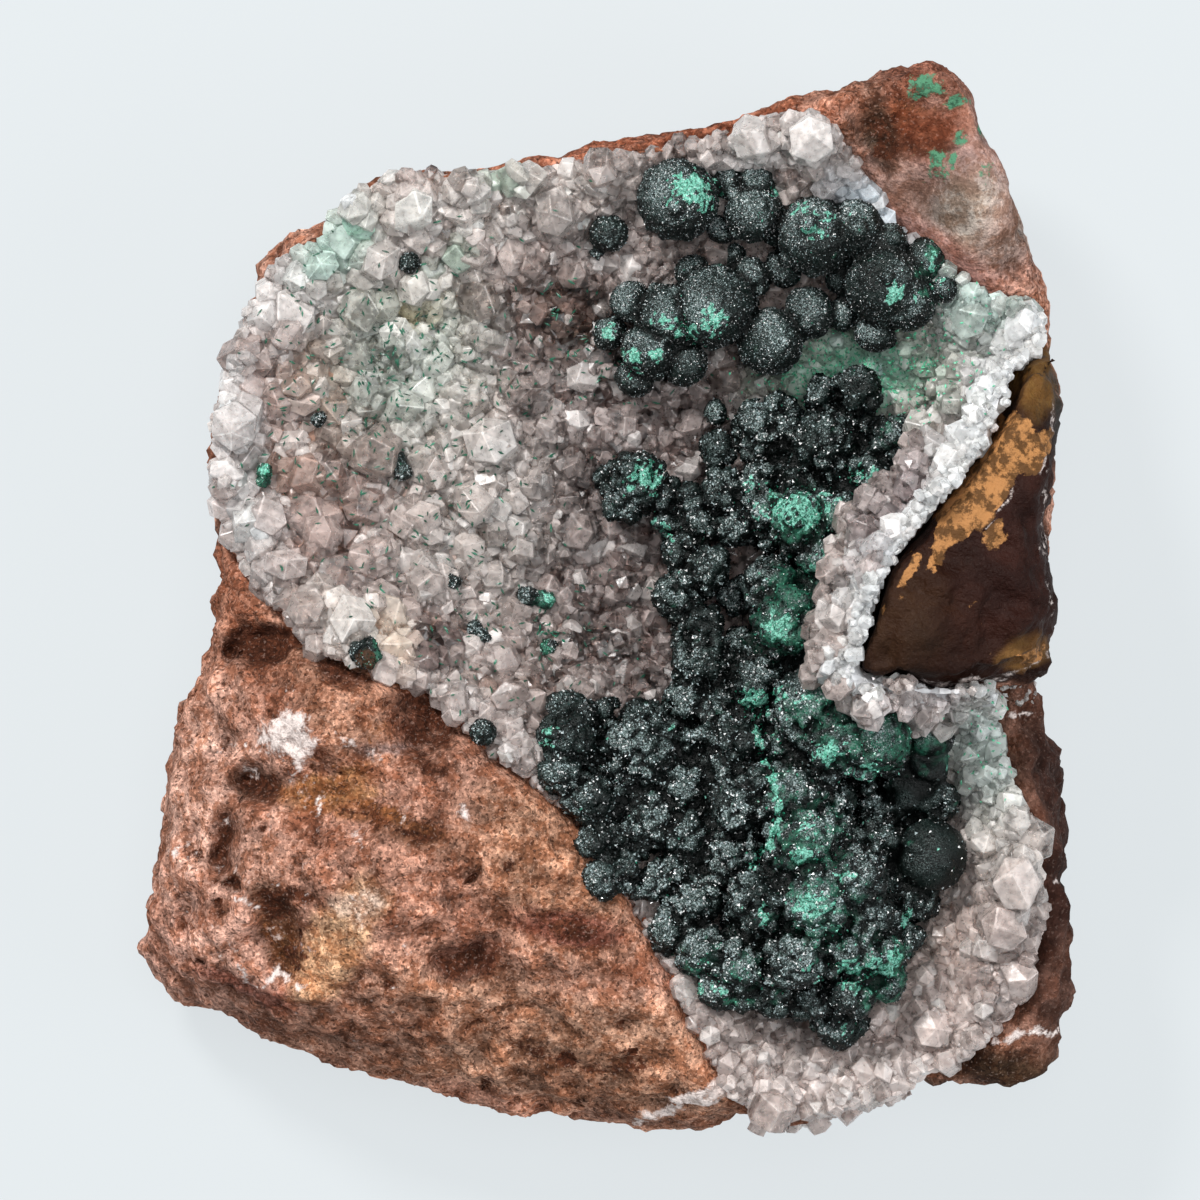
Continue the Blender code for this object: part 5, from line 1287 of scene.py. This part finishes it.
rod_finish.finish(Base_Color=rod_finish.read("tint", "Color"), Roughness=0.35, IOR=1.65)
clothe(rods, rod_finish.material)
finished(rods, "malachite")

# %% [markdown]
# ## The malachite
#
# The malachite grew as balls that met and melted into lumpy masses. The solids have that form in facets.
# The balls are listed here with the height of their tops, as the photograph shows them: round and
# apart in the upper cluster, crowded in the main mass.

# %% Malachite: the balls
UPPER_BALLS = [
    (7.8, 40, 4, 35.4), (12.6, 41.8, 1.8, 31.6), (10.9, 41.6, 1.5, 31), (12.2, 37.2, 1.2, 28.4),
    (15.4, 38.8, 2.9, 33), (15.6, 41.6, 1.8, 32), (21.6, 36.4, 3.9, 34.4), (25.2, 37, 3.1, 33.6),
    (18, 37.2, 1.9, 30.4), (15.1, 32.5, 1.8, 29.4), (18.4, 33.4, 1.9, 29.2),
    (20.9, 28.7, 2.5, 30.4), (17, 26, 3.3, 31.6), (28.4, 31.6, 3.9, 34.4), (30.6, 30, 3, 33),
    (27.6, 27, 2, 30), (28.4, 35.4, 2.4, 32.4), (32.2, 34, 2.1, 32), (34.2, 31.2, 1.3, 31.2),
    (24.8, 32.6, 2.2, 30), (24.4, 28.8, 1.7, 28.8), (11.4, 29.4, 4.1, 33), (7, 28.4, 3.2, 31.4),
    (5, 25.2, 2.8, 30.6), (3.2, 29.8, 2, 29.2), (9.4, 32.6, 1.8, 29.2), (3.6, 22.4, 1.8, 27.8),
    (1, 26.8, 1.4, 28), (8.4, 23.8, 2.2, 29.2), (13.4, 34.2, 1.3, 27.6), (14.2, 29.6, 1.8, 28.6),
]
MAIN_LUMPS = [
    (11.7, 18.8, 1, 25.6), (15.6, 17.9, 1.9, 28), (15.9, 15, 1.6, 27), (11.9, 15.1, 1.7, 27.4),
    (18.9, 17.3, 1.6, 28), (22.3, 16, 2.8, 31), (25.8, 21, 2.2, 29), (22.6, 20.4, 1.6, 28),
    (26.4, 17.6, 1.5, 28), (20.2, 12.5, 1.5, 27.6), (29.6, 15.8, 2.5, 30), (27, 12.6, 2.4, 30.4),
    (3.6, 11.7, 2.8, 28.4), (0.4, 12.2, 0.9, 25), (2.7, 10.2, 2, 27.6), (6.8, 10.4, 1.4, 26.2),
    (9.4, 10, 1.6, 27), (12.4, 11, 2.1, 28.4), (15.6, 10.6, 2.1, 29), (10.2, 7.8, 1.7, 27.4),
    (13.6, 7.6, 1.9, 28.2), (17.2, 9, 2.2, 30), (20.2, 8.2, 3, 32.4), (23.8, 8.4, 2.5, 32.2),
    (21.8, 4.6, 2.3, 31.6), (22.2, 1.6, 2, 30.4), (8.3, 4.9, 1.6, 27), (10.6, 3.1, 2.1, 28.6),
    (7.8, 0.5, 2.1, 28.2), (10.1, -2.5, 2, 28), (14, 0.4, 1.7, 23), (17.4, 1.3, 2.9, 31.6),
    (18.9, -2, 3.5, 33.6), (21.4, -1.2, 2, 31), (10.2, -6.2, 2.7, 29), (14.2, -5, 2, 26.4),
    (16.2, -8.2, 2.6, 30.4), (9, -10.2, 2.1, 28.4), (12.2, -10.4, 2.3, 28.8),
    (13.5, -14.2, 2.6, 31.4), (21.2, -10.4, 3.6, 35.4), (24.8, -10.8, 2.4, 34),
    (23.5, -14, 3.2, 36.2), (27.3, -13.9, 3.4, 36.2), (30.4, -11.6, 1.9, 31),
    (32.6, -13.8, 2.6, 30.2), (30.9, -19.8, 2.1, 28.6), (32.9, -25.6, 3.6, 31.6),
    (28.6, -21.6, 2.6, 28), (19, -20.2, 3.7, 36), (14.4, -20.4, 3.4, 34.4),
    (8.2, -18.8, 2.9, 31.6), (12.6, -16.4, 2.2, 31), (3.9, -14.9, 3.7, 32.8),
    (4.4, -12.4, 2.2, 30.6), (0.2, -12, 1.6, 29), (-2.9, -11.6, 2.2, 32), (-4.8, -14.5, 1.6, 32),
    (-3.4, -14, 2.6, 33.4), (-3.8, -17.2, 2.2, 34), (-1, -20, 2.2, 34.2), (1.6, -17.6, 2, 31.6),
    (-0.2, -23.8, 1.8, 34), (0.3, -27.8, 1.9, 34.4), (2.3, -26.4, 1.6, 33.6),
    (2.9, -23.3, 2.1, 32.6), (5.4, -22.3, 2.9, 31.8), (4.4, -19.6, 1.9, 31), (8.8, -23.4, 3, 32),
    (13.8, -25.4, 3, 33.4), (7.6, -27.2, 2.3, 31.6), (5.2, -28.2, 1.7, 32),
    (20.6, -24.6, 3.9, 38.4), (16.4, -29.8, 3.4, 36.6), (21.8, -29.6, 3.8, 39.4),
    (24.6, -27.8, 3.4, 38.6), (26.4, -31, 2.7, 36.4), (9.2, -30, 2.6, 32.2),
    (7.2, -33.2, 2.1, 31.8), (10.4, -35, 2.6, 33.2), (14.2, -36.2, 2.9, 34.2),
    (12.2, -38.6, 2.2, 32.6), (20, -35.2, 3.3, 37), (25, -34.2, 2.9, 36.6),
    (27.8, -35.2, 2.3, 34.8), (25.2, -39, 2.5, 33.8), (17.4, -39, 2.4, 32.8),
    (21.2, -39.4, 2.4, 32.6), (24, -42, 2.6, 30.2), (30.2, -30.4, 2.2, 29.8),
    (32.2, -30.6, 1.2, 28.4), (27.6, -24.4, 2.4, 31),
]

print(len(UPPER_BALLS), "balls above and", len(MAIN_LUMPS), "in the main mass")

# %% [markdown]
# Not all of it is rough. Three balls at the right are smooth and bare, and on some tops the malachite
# is a glassy green with fewer knobs. Both are dabs, and the shape and the colour follow the same list.

# %% Malachite: where it is smooth and where it is glassy
SMOOTH_BALLS = [(32.9, -25.6, 3.6), (30.9, -19.8, 2.2), (33.6, -16.4, 2.4)]
GREEN_GLASS = [
    (19.6, 0.8, 3.4, 3, 0, 0.9), (18.6, -3, 3.4, 3, 0, 0.8), (22.6, -10.8, 4.4, 3.4, 0, 0.7),
    (28, -13.6, 3.8, 3.4, 0, 0.9), (24, -14.6, 3, 2.6, 0, 0.6), (32.6, -13.8, 3, 3, 0, 0.7),
    (21, -24, 4, 5, 0, 0.6), (22, -31, 4.6, 4.6, 0, 0.7), (12, -37, 6, 3, -20, 0.5),
    (18, -17, 2, 5, 0, 0.5), (29.8, 15.6, 2.6, 2.6, 0, 0.4), (33, 33, 1.6, 3, 0, 0.6),
    (20.2, 8.4, 4, 3, 0, 0.7), (23, 3.6, 2.6, 3, 0, 0.6), (28, -37, 4, 4, 0, 0.6),
    (-33.8, 12.7, 1.4, 1.8, 0, 1.4), (-5.2, 0, 1.6, 1, 0, 1.2), (-5.6, -3.6, 1, 1.6, 0, 1.2),
    (-22, -6, 1.6, 2.4, 0, 1), (-20, -12.6, 1.2, 1.2, 0, 0.5),
]


def bareness(places):
    """Where the malachite is smooth and carries no buds and no grains, from 0 to 1."""
    return np.max([dab(places, x, y, 1.1 * radius, soft=0.25) for x, y, radius in SMOOTH_BALLS], axis=0)


# %% [markdown]
# True spheres are set into a copy of the solid and small buds are sown over it. A fine remesh then melts
# them together, which leaves the deep creases where balls meet.

# %% Malachite: melting balls and buds together
bpy.ops.object.select_all(action="DESELECT")
bpy.ops.mesh.primitive_ico_sphere_add(subdivisions=3, radius=1.0, location=(0, 0, 0))
BALL = as_master(bpy.context.object)


def melted(name, node, balls, bud_count, bud_sizes, voxel):
    """A copy of a malachite solid with true balls and small buds melted into it."""
    core = copy_of_node(node, name)
    buds, bud_normals = surface_samples(core, bud_count, chance, -0.2)
    budding = bareness(buds[:, :2] - CENTRE) < 0.3
    buds, bud_normals = buds[budding], bud_normals[budding]
    radii = chance.uniform(*bud_sizes, len(buds))
    centres = [(x + CENTRE[0], y + CENTRE[1], top - radius) for x, y, radius, top in balls]
    centres = np.r_[np.array(centres).reshape(-1, 3), buds - 0.35 * bud_normals * radii[:, None]]
    radii = np.r_[np.array([ball[2] for ball in balls]), radii]
    turns = np.tile(np.eye(3), (len(radii), 1, 1))
    scales = np.tile(radii[:, None], (1, 3))
    plain = np.zeros((len(radii), 3))
    balls_mesh = joined_copies(
        name + "_balls", [BALL], np.zeros(len(radii), int), centres, turns, scales, plain, chance,
    )
    bpy.ops.object.select_all(action="DESELECT")
    balls_mesh.select_set(True)
    core.select_set(True)
    bpy.context.view_layer.objects.active = core
    bpy.ops.object.join()
    core.data.attributes.remove(core.data.attributes["tint"])
    core.data.attributes.remove(core.data.attributes["facet"])
    modify(core, "REMESH", mode="VOXEL", voxel_size=voxel * MM, adaptivity=0.0)
    modify(core, "SMOOTH", factor=0.4, iterations=2)
    core.data.shade_smooth()
    return core


upper = melted("malachite_upper_balls", "malachite_upper_cluster", UPPER_BALLS, 60, (0.4, 0.9), 0.26)
main = melted("malachite_lumpy_mass", "malachite_main_mass", MAIN_LUMPS, 1500, (0.45, 1.05), 0.335)
print("the masses have", triangles(upper), "and", triangles(main), "triangles")

# %% [markdown]
# The main mass is a crowd of knobs of 1 mm, which a cell texture presses into it, except where it is
# smooth or glassy. Melting rounds creases, so tops are then pushed out and creases in. A velvet of
# half a millimetre is left over both.

# %% Malachite: knobs, creases and velvet
velvet = pattern("malachite_velvet", "CLOUDS", 0.55, noise_depth=1)
knobs = pattern("malachite_knobs", "VORONOI", 1.2)
main_sheet = points_of(main)[:, :2] - CENTRE
glassy = np.max(
    [strength * dab(main_sheet, x, y, wide, high) for x, y, wide, high, _, strength in GREEN_GLASS],
    axis=0,
)
give_group(main, "knobbly", np.clip(1.0 - bareness(main_sheet) - 0.75 * glassy, 0.0, 1.0))
modify(main, "DISPLACE", texture=knobs, strength=-0.8 * MM, mid_level=0.4, vertex_group="knobbly")


def sharpen(piece, rounds, share, most):
    """Pushes tops out and creases in, so that lumps that were melted together read as lumps again."""
    push = np.clip(share * standing_out(piece, rounds), -most, 0.4 * most)
    set_points(piece, points_of(piece) + push[:, None] * normals_of(piece))


sharpen(upper, 20, 1.2, 0.8)
sharpen(main, 24, 1.4, 0.9)
modify(upper, "DISPLACE", texture=velvet, strength=0.2 * MM, mid_level=0.5)
modify(main, "DISPLACE", texture=velvet, strength=0.5 * MM, mid_level=0.5, vertex_group="knobbly")

# %% [markdown]
# Up close the malachite is nearly black, and mint green where its fibres are exposed. The mint is
# painted in dabs with edges that are frayed twice, and one thread of it runs down a crease of the mass.
# One bead at the left is a brown knob.

# %% Malachite: where it is mint and brown
MINT = [
    # x, y, wide, high, turn, strength
    (8.8, 41, 2.2, 1.6, 10, 1), (10.4, 40, 1.6, 1.2, 30, 0.7), (21.4, 36.6, 1.1, 0.8, 0, 0.9),
    (22.2, 38.4, 2.6, 0.8, 0, 0.5), (19.8, 39, 1, 0.8, 0, 0.7), (16, 38.6, 0.6, 0.6, 0, 0.6),
    (17.6, 41, 0.9, 0.7, 0, 0.7), (29.4, 30.6, 0.9, 1, 0, 1), (31.2, 30.4, 0.6, 1, 0, 0.6),
    (33.4, 33.2, 0.8, 2.4, 10, 0.6), (7.6, 27.4, 2.4, 1, -20, 0.9), (11.2, 28, 1.2, 1.6, 10, 0.9),
    (0.8, 26.8, 1, 0.8, 0, 1), (3.2, 24.6, 1, 0.9, 0, 0.9), (5.4, 24.4, 0.9, 0.6, 0, 0.9),
    (3.4, 22.8, 0.8, 0.6, 0, 0.6), (4.6, 12.4, 1.7, 1.4, 0, 1), (6.6, 7, 0.5, 1.6, 40, 0.8),
    (20, 8.8, 4.6, 2.2, 0, 0.75), (18.2, 9.4, 1.6, 1.4, 0, 0.9), (23.2, 3.6, 1.6, 1.8, 0, 0.9),
    (21.6, 3, 1.2, 1, 0, 0.9), (26.4, 12.4, 1.8, 1.2, 0, 0.7), (15, 11.4, 0.9, 0.8, 0, 0.6),
    (17.8, -2.8, 1.6, 1.4, 0, 1), (20.4, -4.6, 1.6, 1.2, 0, 0.6), (16.4, -0.8, 1, 0.8, 0, 0.5),
    (15.6, -10.4, 1.6, 1.5, 0, 1), (17.6, -9.6, 1.2, 0.9, 0, 0.8), (20.4, -9.6, 1.2, 0.9, 0, 0.6),
    (22.8, -15.2, 1.6, 1.2, 0, 0.9), (26, -17, 2.4, 0.8, 20, 0.7), (27, -12, 1.6, 1.4, 0, 0.5),
    (20.2, -25.4, 1.4, 1, 0, 0.9), (20.6, -22.6, 1, 0.8, 0, 0.7), (21, -30.4, 2, 1.6, 0, 0.85),
    (24.4, -27.4, 1.2, 1.2, 0, 0.7), (16.2, -31.2, 0.7, 1.2, 0, 0.9), (24, -33, 1.2, 1, 0, 0.6),
    (26.6, -37.2, 2.4, 1.4, 20, 1), (29.4, -36, 0.9, 2.2, -20, 0.9),
    (24.4, -36.2, 1.6, 0.8, 0, 0.7), (11, -38.4, 2.4, 1.2, -20, 0.7),
    (14.6, -37.4, 1.2, 0.8, 0, 0.5), (21, -37, 0.6, 1.6, 30, 0.6), (30.6, -31.6, 0.6, 1, -30, 0.8),
    (24.4, -43, 1.4, 0.7, 0, 0.6), (-5.2, -13.4, 0.8, 1.2, 0, 0.7), (7, -12.8, 0.5, 0.5, 0, 0.8),
    (29.8, 19.2, 0.8, 0.8, 0, 0.7), (-33.6, 13.1, 0.7, 0.6, 0, 0.8), (-4.9, 0.1, 1, 0.6, 0, 1),
    (-5.6, -3, 0.5, 0.4, 0, 0.9), (-21.9, -6.6, 0.4, 1.1, 10, 0.5),
]
THREAD = [(15.6, -12.0), (16.0, -15.0), (17.2, -18.0), (17.8, -21.4), (17.0, -24.0), (15.0, -26.6)]
BROWN_KNOB = (-23.4, -6.2, 1.3, 1.6)


def malachite_cover(points):
    """How much mint, glassy green and bare smoothness there is at each point, with ragged edges."""
    near = ragged(points, 0.9, 0.6, 3)
    mint = stroke(near, THREAD, 0.4)
    green = np.zeros(len(points))
    for x, y, wide, high, turn, strength in MINT:
        mint = np.maximum(mint, strength * dab(near, x, y, wide, high, turn, 0.9))
    for x, y, wide, high, turn, strength in GREEN_GLASS:
        green = np.maximum(green, strength * dab(near, x, y, wide, high, turn, 0.7))
    mint_edge = 0.75 * speckle(points, 0.55, 8) + 0.25 * speckle(points, 0.25, 9)
    mint = smooth_step(mint + mint_edge, 0.52, 0.68)
    green_edge = 0.7 * speckle(points, 1.1, 10) + 0.3 * speckle(points, 0.4, 11)
    green = smooth_step(green + green_edge, 0.45, 0.75)
    return mint, green, bareness(near)


# %% [markdown]
# A salt of tiny crystal faces lies on the tops and on the side towards the light: where it lies is a
# painted highlight, and its pale dots are painted glints. Creases are painted deep and dark as shade. Both
# come from how far a point stands out from its near and its wide surroundings, the salt also from how the
# point faces the light, which works for balls of every size.

# %% Malachite: painting a piece
LIT_FROM = np.array([-0.25, 0.25, 0.93])
PALE_PATCH = (14.0, -30.0, 12.0)


def paint_malachite(piece):
    """Writes how much mint, green, salt with its painted highlight, and painted shade each point of a
    malachite piece has.
    """
    points, normals = points_of(piece), normals_of(piece)
    mint, green, bare = malachite_cover(points)
    sheet = points[:, :2] - CENTRE
    out = smooth_step(standing_out(piece, 16), -0.20, 0.14)
    out = out * smooth_step(standing_out(piece, 70), -1.1, 0.3)
    # Painted highlight: the salt's share grows on the side that faces the key light.
    facing = np.clip(normals @ LIT_FROM, 0.0, 1.0)
    uneven = np.clip(0.85 + 1.1 * speckle(points, 4.5, 12), 0.2, 1.5)
    lit = smooth_step(facing, 0.35, 1.0) * out * uneven
    # The pale patch raises the salt and its painted highlight there.
    lit = np.clip(1.25 * lit**1.3 * (1.0 + 0.7 * dab(sheet, *PALE_PATCH)), 0.0, 1.5)
    give_attribute(piece, "mint", mint * (0.25 + 0.75 * out))
    give_attribute(piece, "green", green)
    give_attribute(piece, "salt", lit * (1.0 - 0.75 * bare))
    brown = dab(sheet, *BROWN_KNOB, soft=0.5) + 0.8 * speckle(points, 0.5, 13)
    give_attribute(piece, "brown", brown * dab(sheet, *BROWN_KNOB, soft=0.9))
    # Painted shade: the deep share darkens the creases.
    give_attribute(piece, "deep", 1.0 - out)


# %% [markdown]
# The finish lays these shares over each other: a deep green-black, darker in creases as painted shade and
# emerald where it is glassy, a grey dust of fibre ends that is also a painted sheen on the lit tops, the
# salt as cells of a quarter of a millimetre that grow with its share and are painted glints, and the mint
# and the brown on top. The shine is low and silky, and two bumps break it up.

# %% Malachite: finish
dark = Recipe("dark_malachite")
salt_cells = dark.cells(0.26, output="Color").node.outputs
salt_kind = dark.add("SeparateColor", {"Color": salt_cells["Color"]}).outputs
salt_dot = salt_cells["Distance"]
salt = dark.read("salt")
# Painted glints: pale salt cells that grow with the share of salt and painted highlight.
salt_reach = dark.math("ADD", 0.10, dark.math("MULTIPLY", salt, 0.26))
salt_here = dark.step(dark.math("SUBTRACT", salt_reach, salt_dot), -0.02, 0.06)
clump = dark.step(dark.noise(2.2, 2.0, 0.6), 0.3, 0.65, 0.45, 1.0)
salt_here = dark.math("MULTIPLY", salt_here, clump)
# A dust of fibre ends and a painted sheen, both where the share of salt and painted highlight is high.
dust = dark.step(dark.noise(0.16, 2.0, 0.8), 0.47, 0.64)
dust = dark.math("MULTIPLY", dark.math("MULTIPLY", dust, salt), 0.85)
deep = dark.mix(dark.step(dark.noise(2.4, 1.0, 0.6), 0.35, 0.7), rgb(4, 8, 7), rgb(9, 23, 20))
emerald = dark.mix(dark.step(dark.noise(0.7, 3.0, 0.6), 0.3, 0.7), rgb(10, 40, 33), rgb(52, 124, 98))
deep = dark.mix(dark.math("MULTIPLY", dark.read("green"), 0.85), deep, emerald)
# Painted shade: creases darkened towards black by the deep share.
deep = dark.mix(dark.math("MULTIPLY", dark.read("deep"), 0.85), deep, rgb(2, 6, 5))
colour = dark.mix(dust, deep, rgb(134, 152, 150))
bright = dark.step(salt_kind[0], 0.5, 1.0)
colour = dark.mix(salt_here, colour, dark.mix(bright, rgb(60, 78, 75), rgb(196, 208, 208)))
mint_ragged = dark.math("SUBTRACT", dark.noise(0.3, 3.0, 0.8), 0.5)
mint_share = dark.math("ADD", dark.read("mint"), dark.math("MULTIPLY", mint_ragged, 1.2))
mint_share = dark.step(mint_share, 0.42, 0.7)
mint_tone = dark.step(dark.noise(0.28, 3.0, 0.8), 0.36, 0.64)
mint_colour = dark.mix(mint_tone, rgb(26, 92, 72), rgb(156, 234, 212))
colour = dark.mix(dark.math("MULTIPLY", mint_share, 0.9), colour, mint_colour)
brown_tone = dark.mix(dark.noise(0.6, 3.0, 0.7), rgb(24, 16, 12), rgb(92, 60, 38))
colour = dark.mix(dark.step(dark.read("brown"), 0.3, 0.7), colour, brown_tone)
velvet_bump = dark.bump(dark.noise(0.2, 2.0, 0.7), 0.16, 0.9)
velvet_bump = dark.bump(dark.cells(0.6), -0.14, 0.6, velvet_bump)
dark.finish(Base_Color=colour, Roughness=0.42, Specular_IOR_Level=0.25, Normal=velvet_bump)

# %% [markdown]
# The two masses are painted and handed over in place of their solids.

# %% Malachite: the two masses are done
for piece, node in ((upper, "malachite_upper_cluster"), (main, "malachite_main_mass")):
    paint_malachite(piece)
    clothe(piece, dark.material)
    finished(piece, "malachite", node)

# %% [markdown]
# The twelve lone beads are small, so a finer remesh and the velvet are enough for them. Only the brown
# knob also gets the knobs of the main mass. Each keeps the name of its solid, with another beginning.

# %% Malachite: the lone beads
BEAD_VOXEL = 0.16
for node in malachite_nodes:
    if node in ("malachite_upper_cluster", "malachite_main_mass"):
        continue
    bead = copy_of_node(node, node.replace("malachite_", "grown_"))
    modify(bead, "REMESH", mode="VOXEL", voxel_size=BEAD_VOXEL * MM, adaptivity=0.0)
    modify(bead, "SMOOTH", factor=0.5, iterations=3)
    modify(bead, "DISPLACE", texture=velvet, strength=0.35 * MM, mid_level=0.5)
    if "knob" in node:
        modify(bead, "DISPLACE", texture=knobs, strength=-0.9 * MM, mid_level=0.5)
    bead.data.shade_smooth()
    paint_malachite(bead)
    clothe(bead, dark.material)
    finished(bead, "malachite", node)

# %% [markdown]
# Grains grow on all the malachite, most of them dark, some grey-green and a few white and bright: the pale
# and white ones are painted glints. They are real little points and not a pattern, so each one also
# glitters when the light moves. The simplest crystal will do for something of 0.2 mm: a three-sided point
# on a three-sided foot.

# %% Malachite: one grain and its colours
bpy.ops.object.select_all(action="DESELECT")
bpy.ops.mesh.primitive_cone_add(
    vertices=3, radius1=1.0, radius2=0.0, depth=1.3, location=(0, 0, 0.25),
)
bpy.ops.object.transform_apply(location=True, rotation=True, scale=True)
GRAIN = as_master(bpy.context.object)
# Grain kinds from dark to white; the pale and white kinds are painted glints.
GRAIN_COLOURS_WITH_GLINTS = np.array([rgb(4, 12, 10), rgb(44, 60, 58), rgb(158, 174, 176), rgb(250, 252, 252)])
GREEN_GRAINS_WITH_GLINTS = np.array([rgb(10, 50, 38), rgb(34, 104, 80), rgb(100, 180, 152), rgb(214, 244, 232)])
MINT_GRAINS_WITH_GLINTS = np.array([rgb(40, 120, 94), rgb(90, 184, 154), rgb(146, 226, 204), rgb(230, 250, 244)])
grain_finish = Recipe("malachite_grains")
grain_finish.finish(Base_Color=grain_finish.read("tint", "Color"), Roughness=0.25, IOR=1.65)
print("a grain has", len(GRAIN[1]), "faces")

# %% [markdown]
# A grain is sown anywhere that looks up, takes its kind by luck and by the share of salt and painted
# highlight on that spot, and turns green or mint where the skin is. So the pale kinds, which are painted
# glints, gather on the tops and on the side towards the light. Few stand on the smooth and the glassy
# tops. The main mass gets coarse grains and then a fine dust, the upper cluster and the beads fine grains
# only.

# %% Malachite: growing the grains
def grow_grains(piece, name, count, smallest, largest, glitter=1.0):
    """Scatters that many grains over a piece of malachite, the pale ones, which are painted glints, mostly
    on its tops and on the side towards the light.
    """
    places, normals = surface_samples(piece, count, chance, 0.0)
    mint, green, bare = malachite_cover(places)
    search = KDTree(len(piece.data.vertices))
    for index, point in enumerate(points_of(piece)):
        search.insert(point, index)
    search.balance()
    lit = np.empty(len(piece.data.vertices), np.float32)
    piece.data.attributes["salt"].data.foreach_get("value", lit)
    lit = lit[[search.find(place)[1] for place in places]]
    keep = chance.random(count) > 0.85 * bare + 0.45 * green
    places, normals, mint, green, lit = (part[keep] for part in (places, normals, mint, green, lit))
    count = len(places)
    # Painted highlight: pale kinds are likelier where the share of salt and painted highlight is high.
    luck = chance.random(count) / (glitter * (0.25 + 1.5 * lit))
    kinds = (luck < 0.60).astype(int) + (luck < 0.30) + (luck < 0.075)
    colours = GRAIN_COLOURS_WITH_GLINTS[kinds]
    colours = np.where((chance.random(count) < 0.85 * green)[:, None], GREEN_GRAINS_WITH_GLINTS[kinds], colours)
    colours = np.where((chance.random(count) < 0.85 * mint)[:, None], MINT_GRAINS_WITH_GLINTS[kinds], colours)
    colours = colours * np.exp(chance.normal(0.0, 0.2, count))[:, None]
    scales = chance.uniform(smallest, largest, count)[:, None] * chance.uniform(0.7, 1.3, (count, 3))
    turns = upright_frames(normals + chance.normal(0.0, 0.35, normals.shape), chance)
    grown = joined_copies(
        f"{piece.name}_{name}", [GRAIN], np.zeros(count, int), places, turns, scales,
        np.clip(colours, 0.0, 0.95), chance,
    )
    clothe(grown, grain_finish.material)
    finished(grown, "malachite")


grow_grains(upper, "grains", 49000, 0.05, 0.11)
grow_grains(main, "grains", 49000, 0.09, 0.21)
grow_grains(main, "dust", 36000, 0.06, 0.11, 1.6)
for piece in [o for o in bpy.data.objects if o.name.startswith("grown_")]:
    grow_grains(piece, "grains", 420, 0.07, 0.14)

# %% Write the sizes and finish
low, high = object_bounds()
print("the dressed specimen reaches from", [round(c, 4) for c in low], "to", [round(c, 4) for c in high])
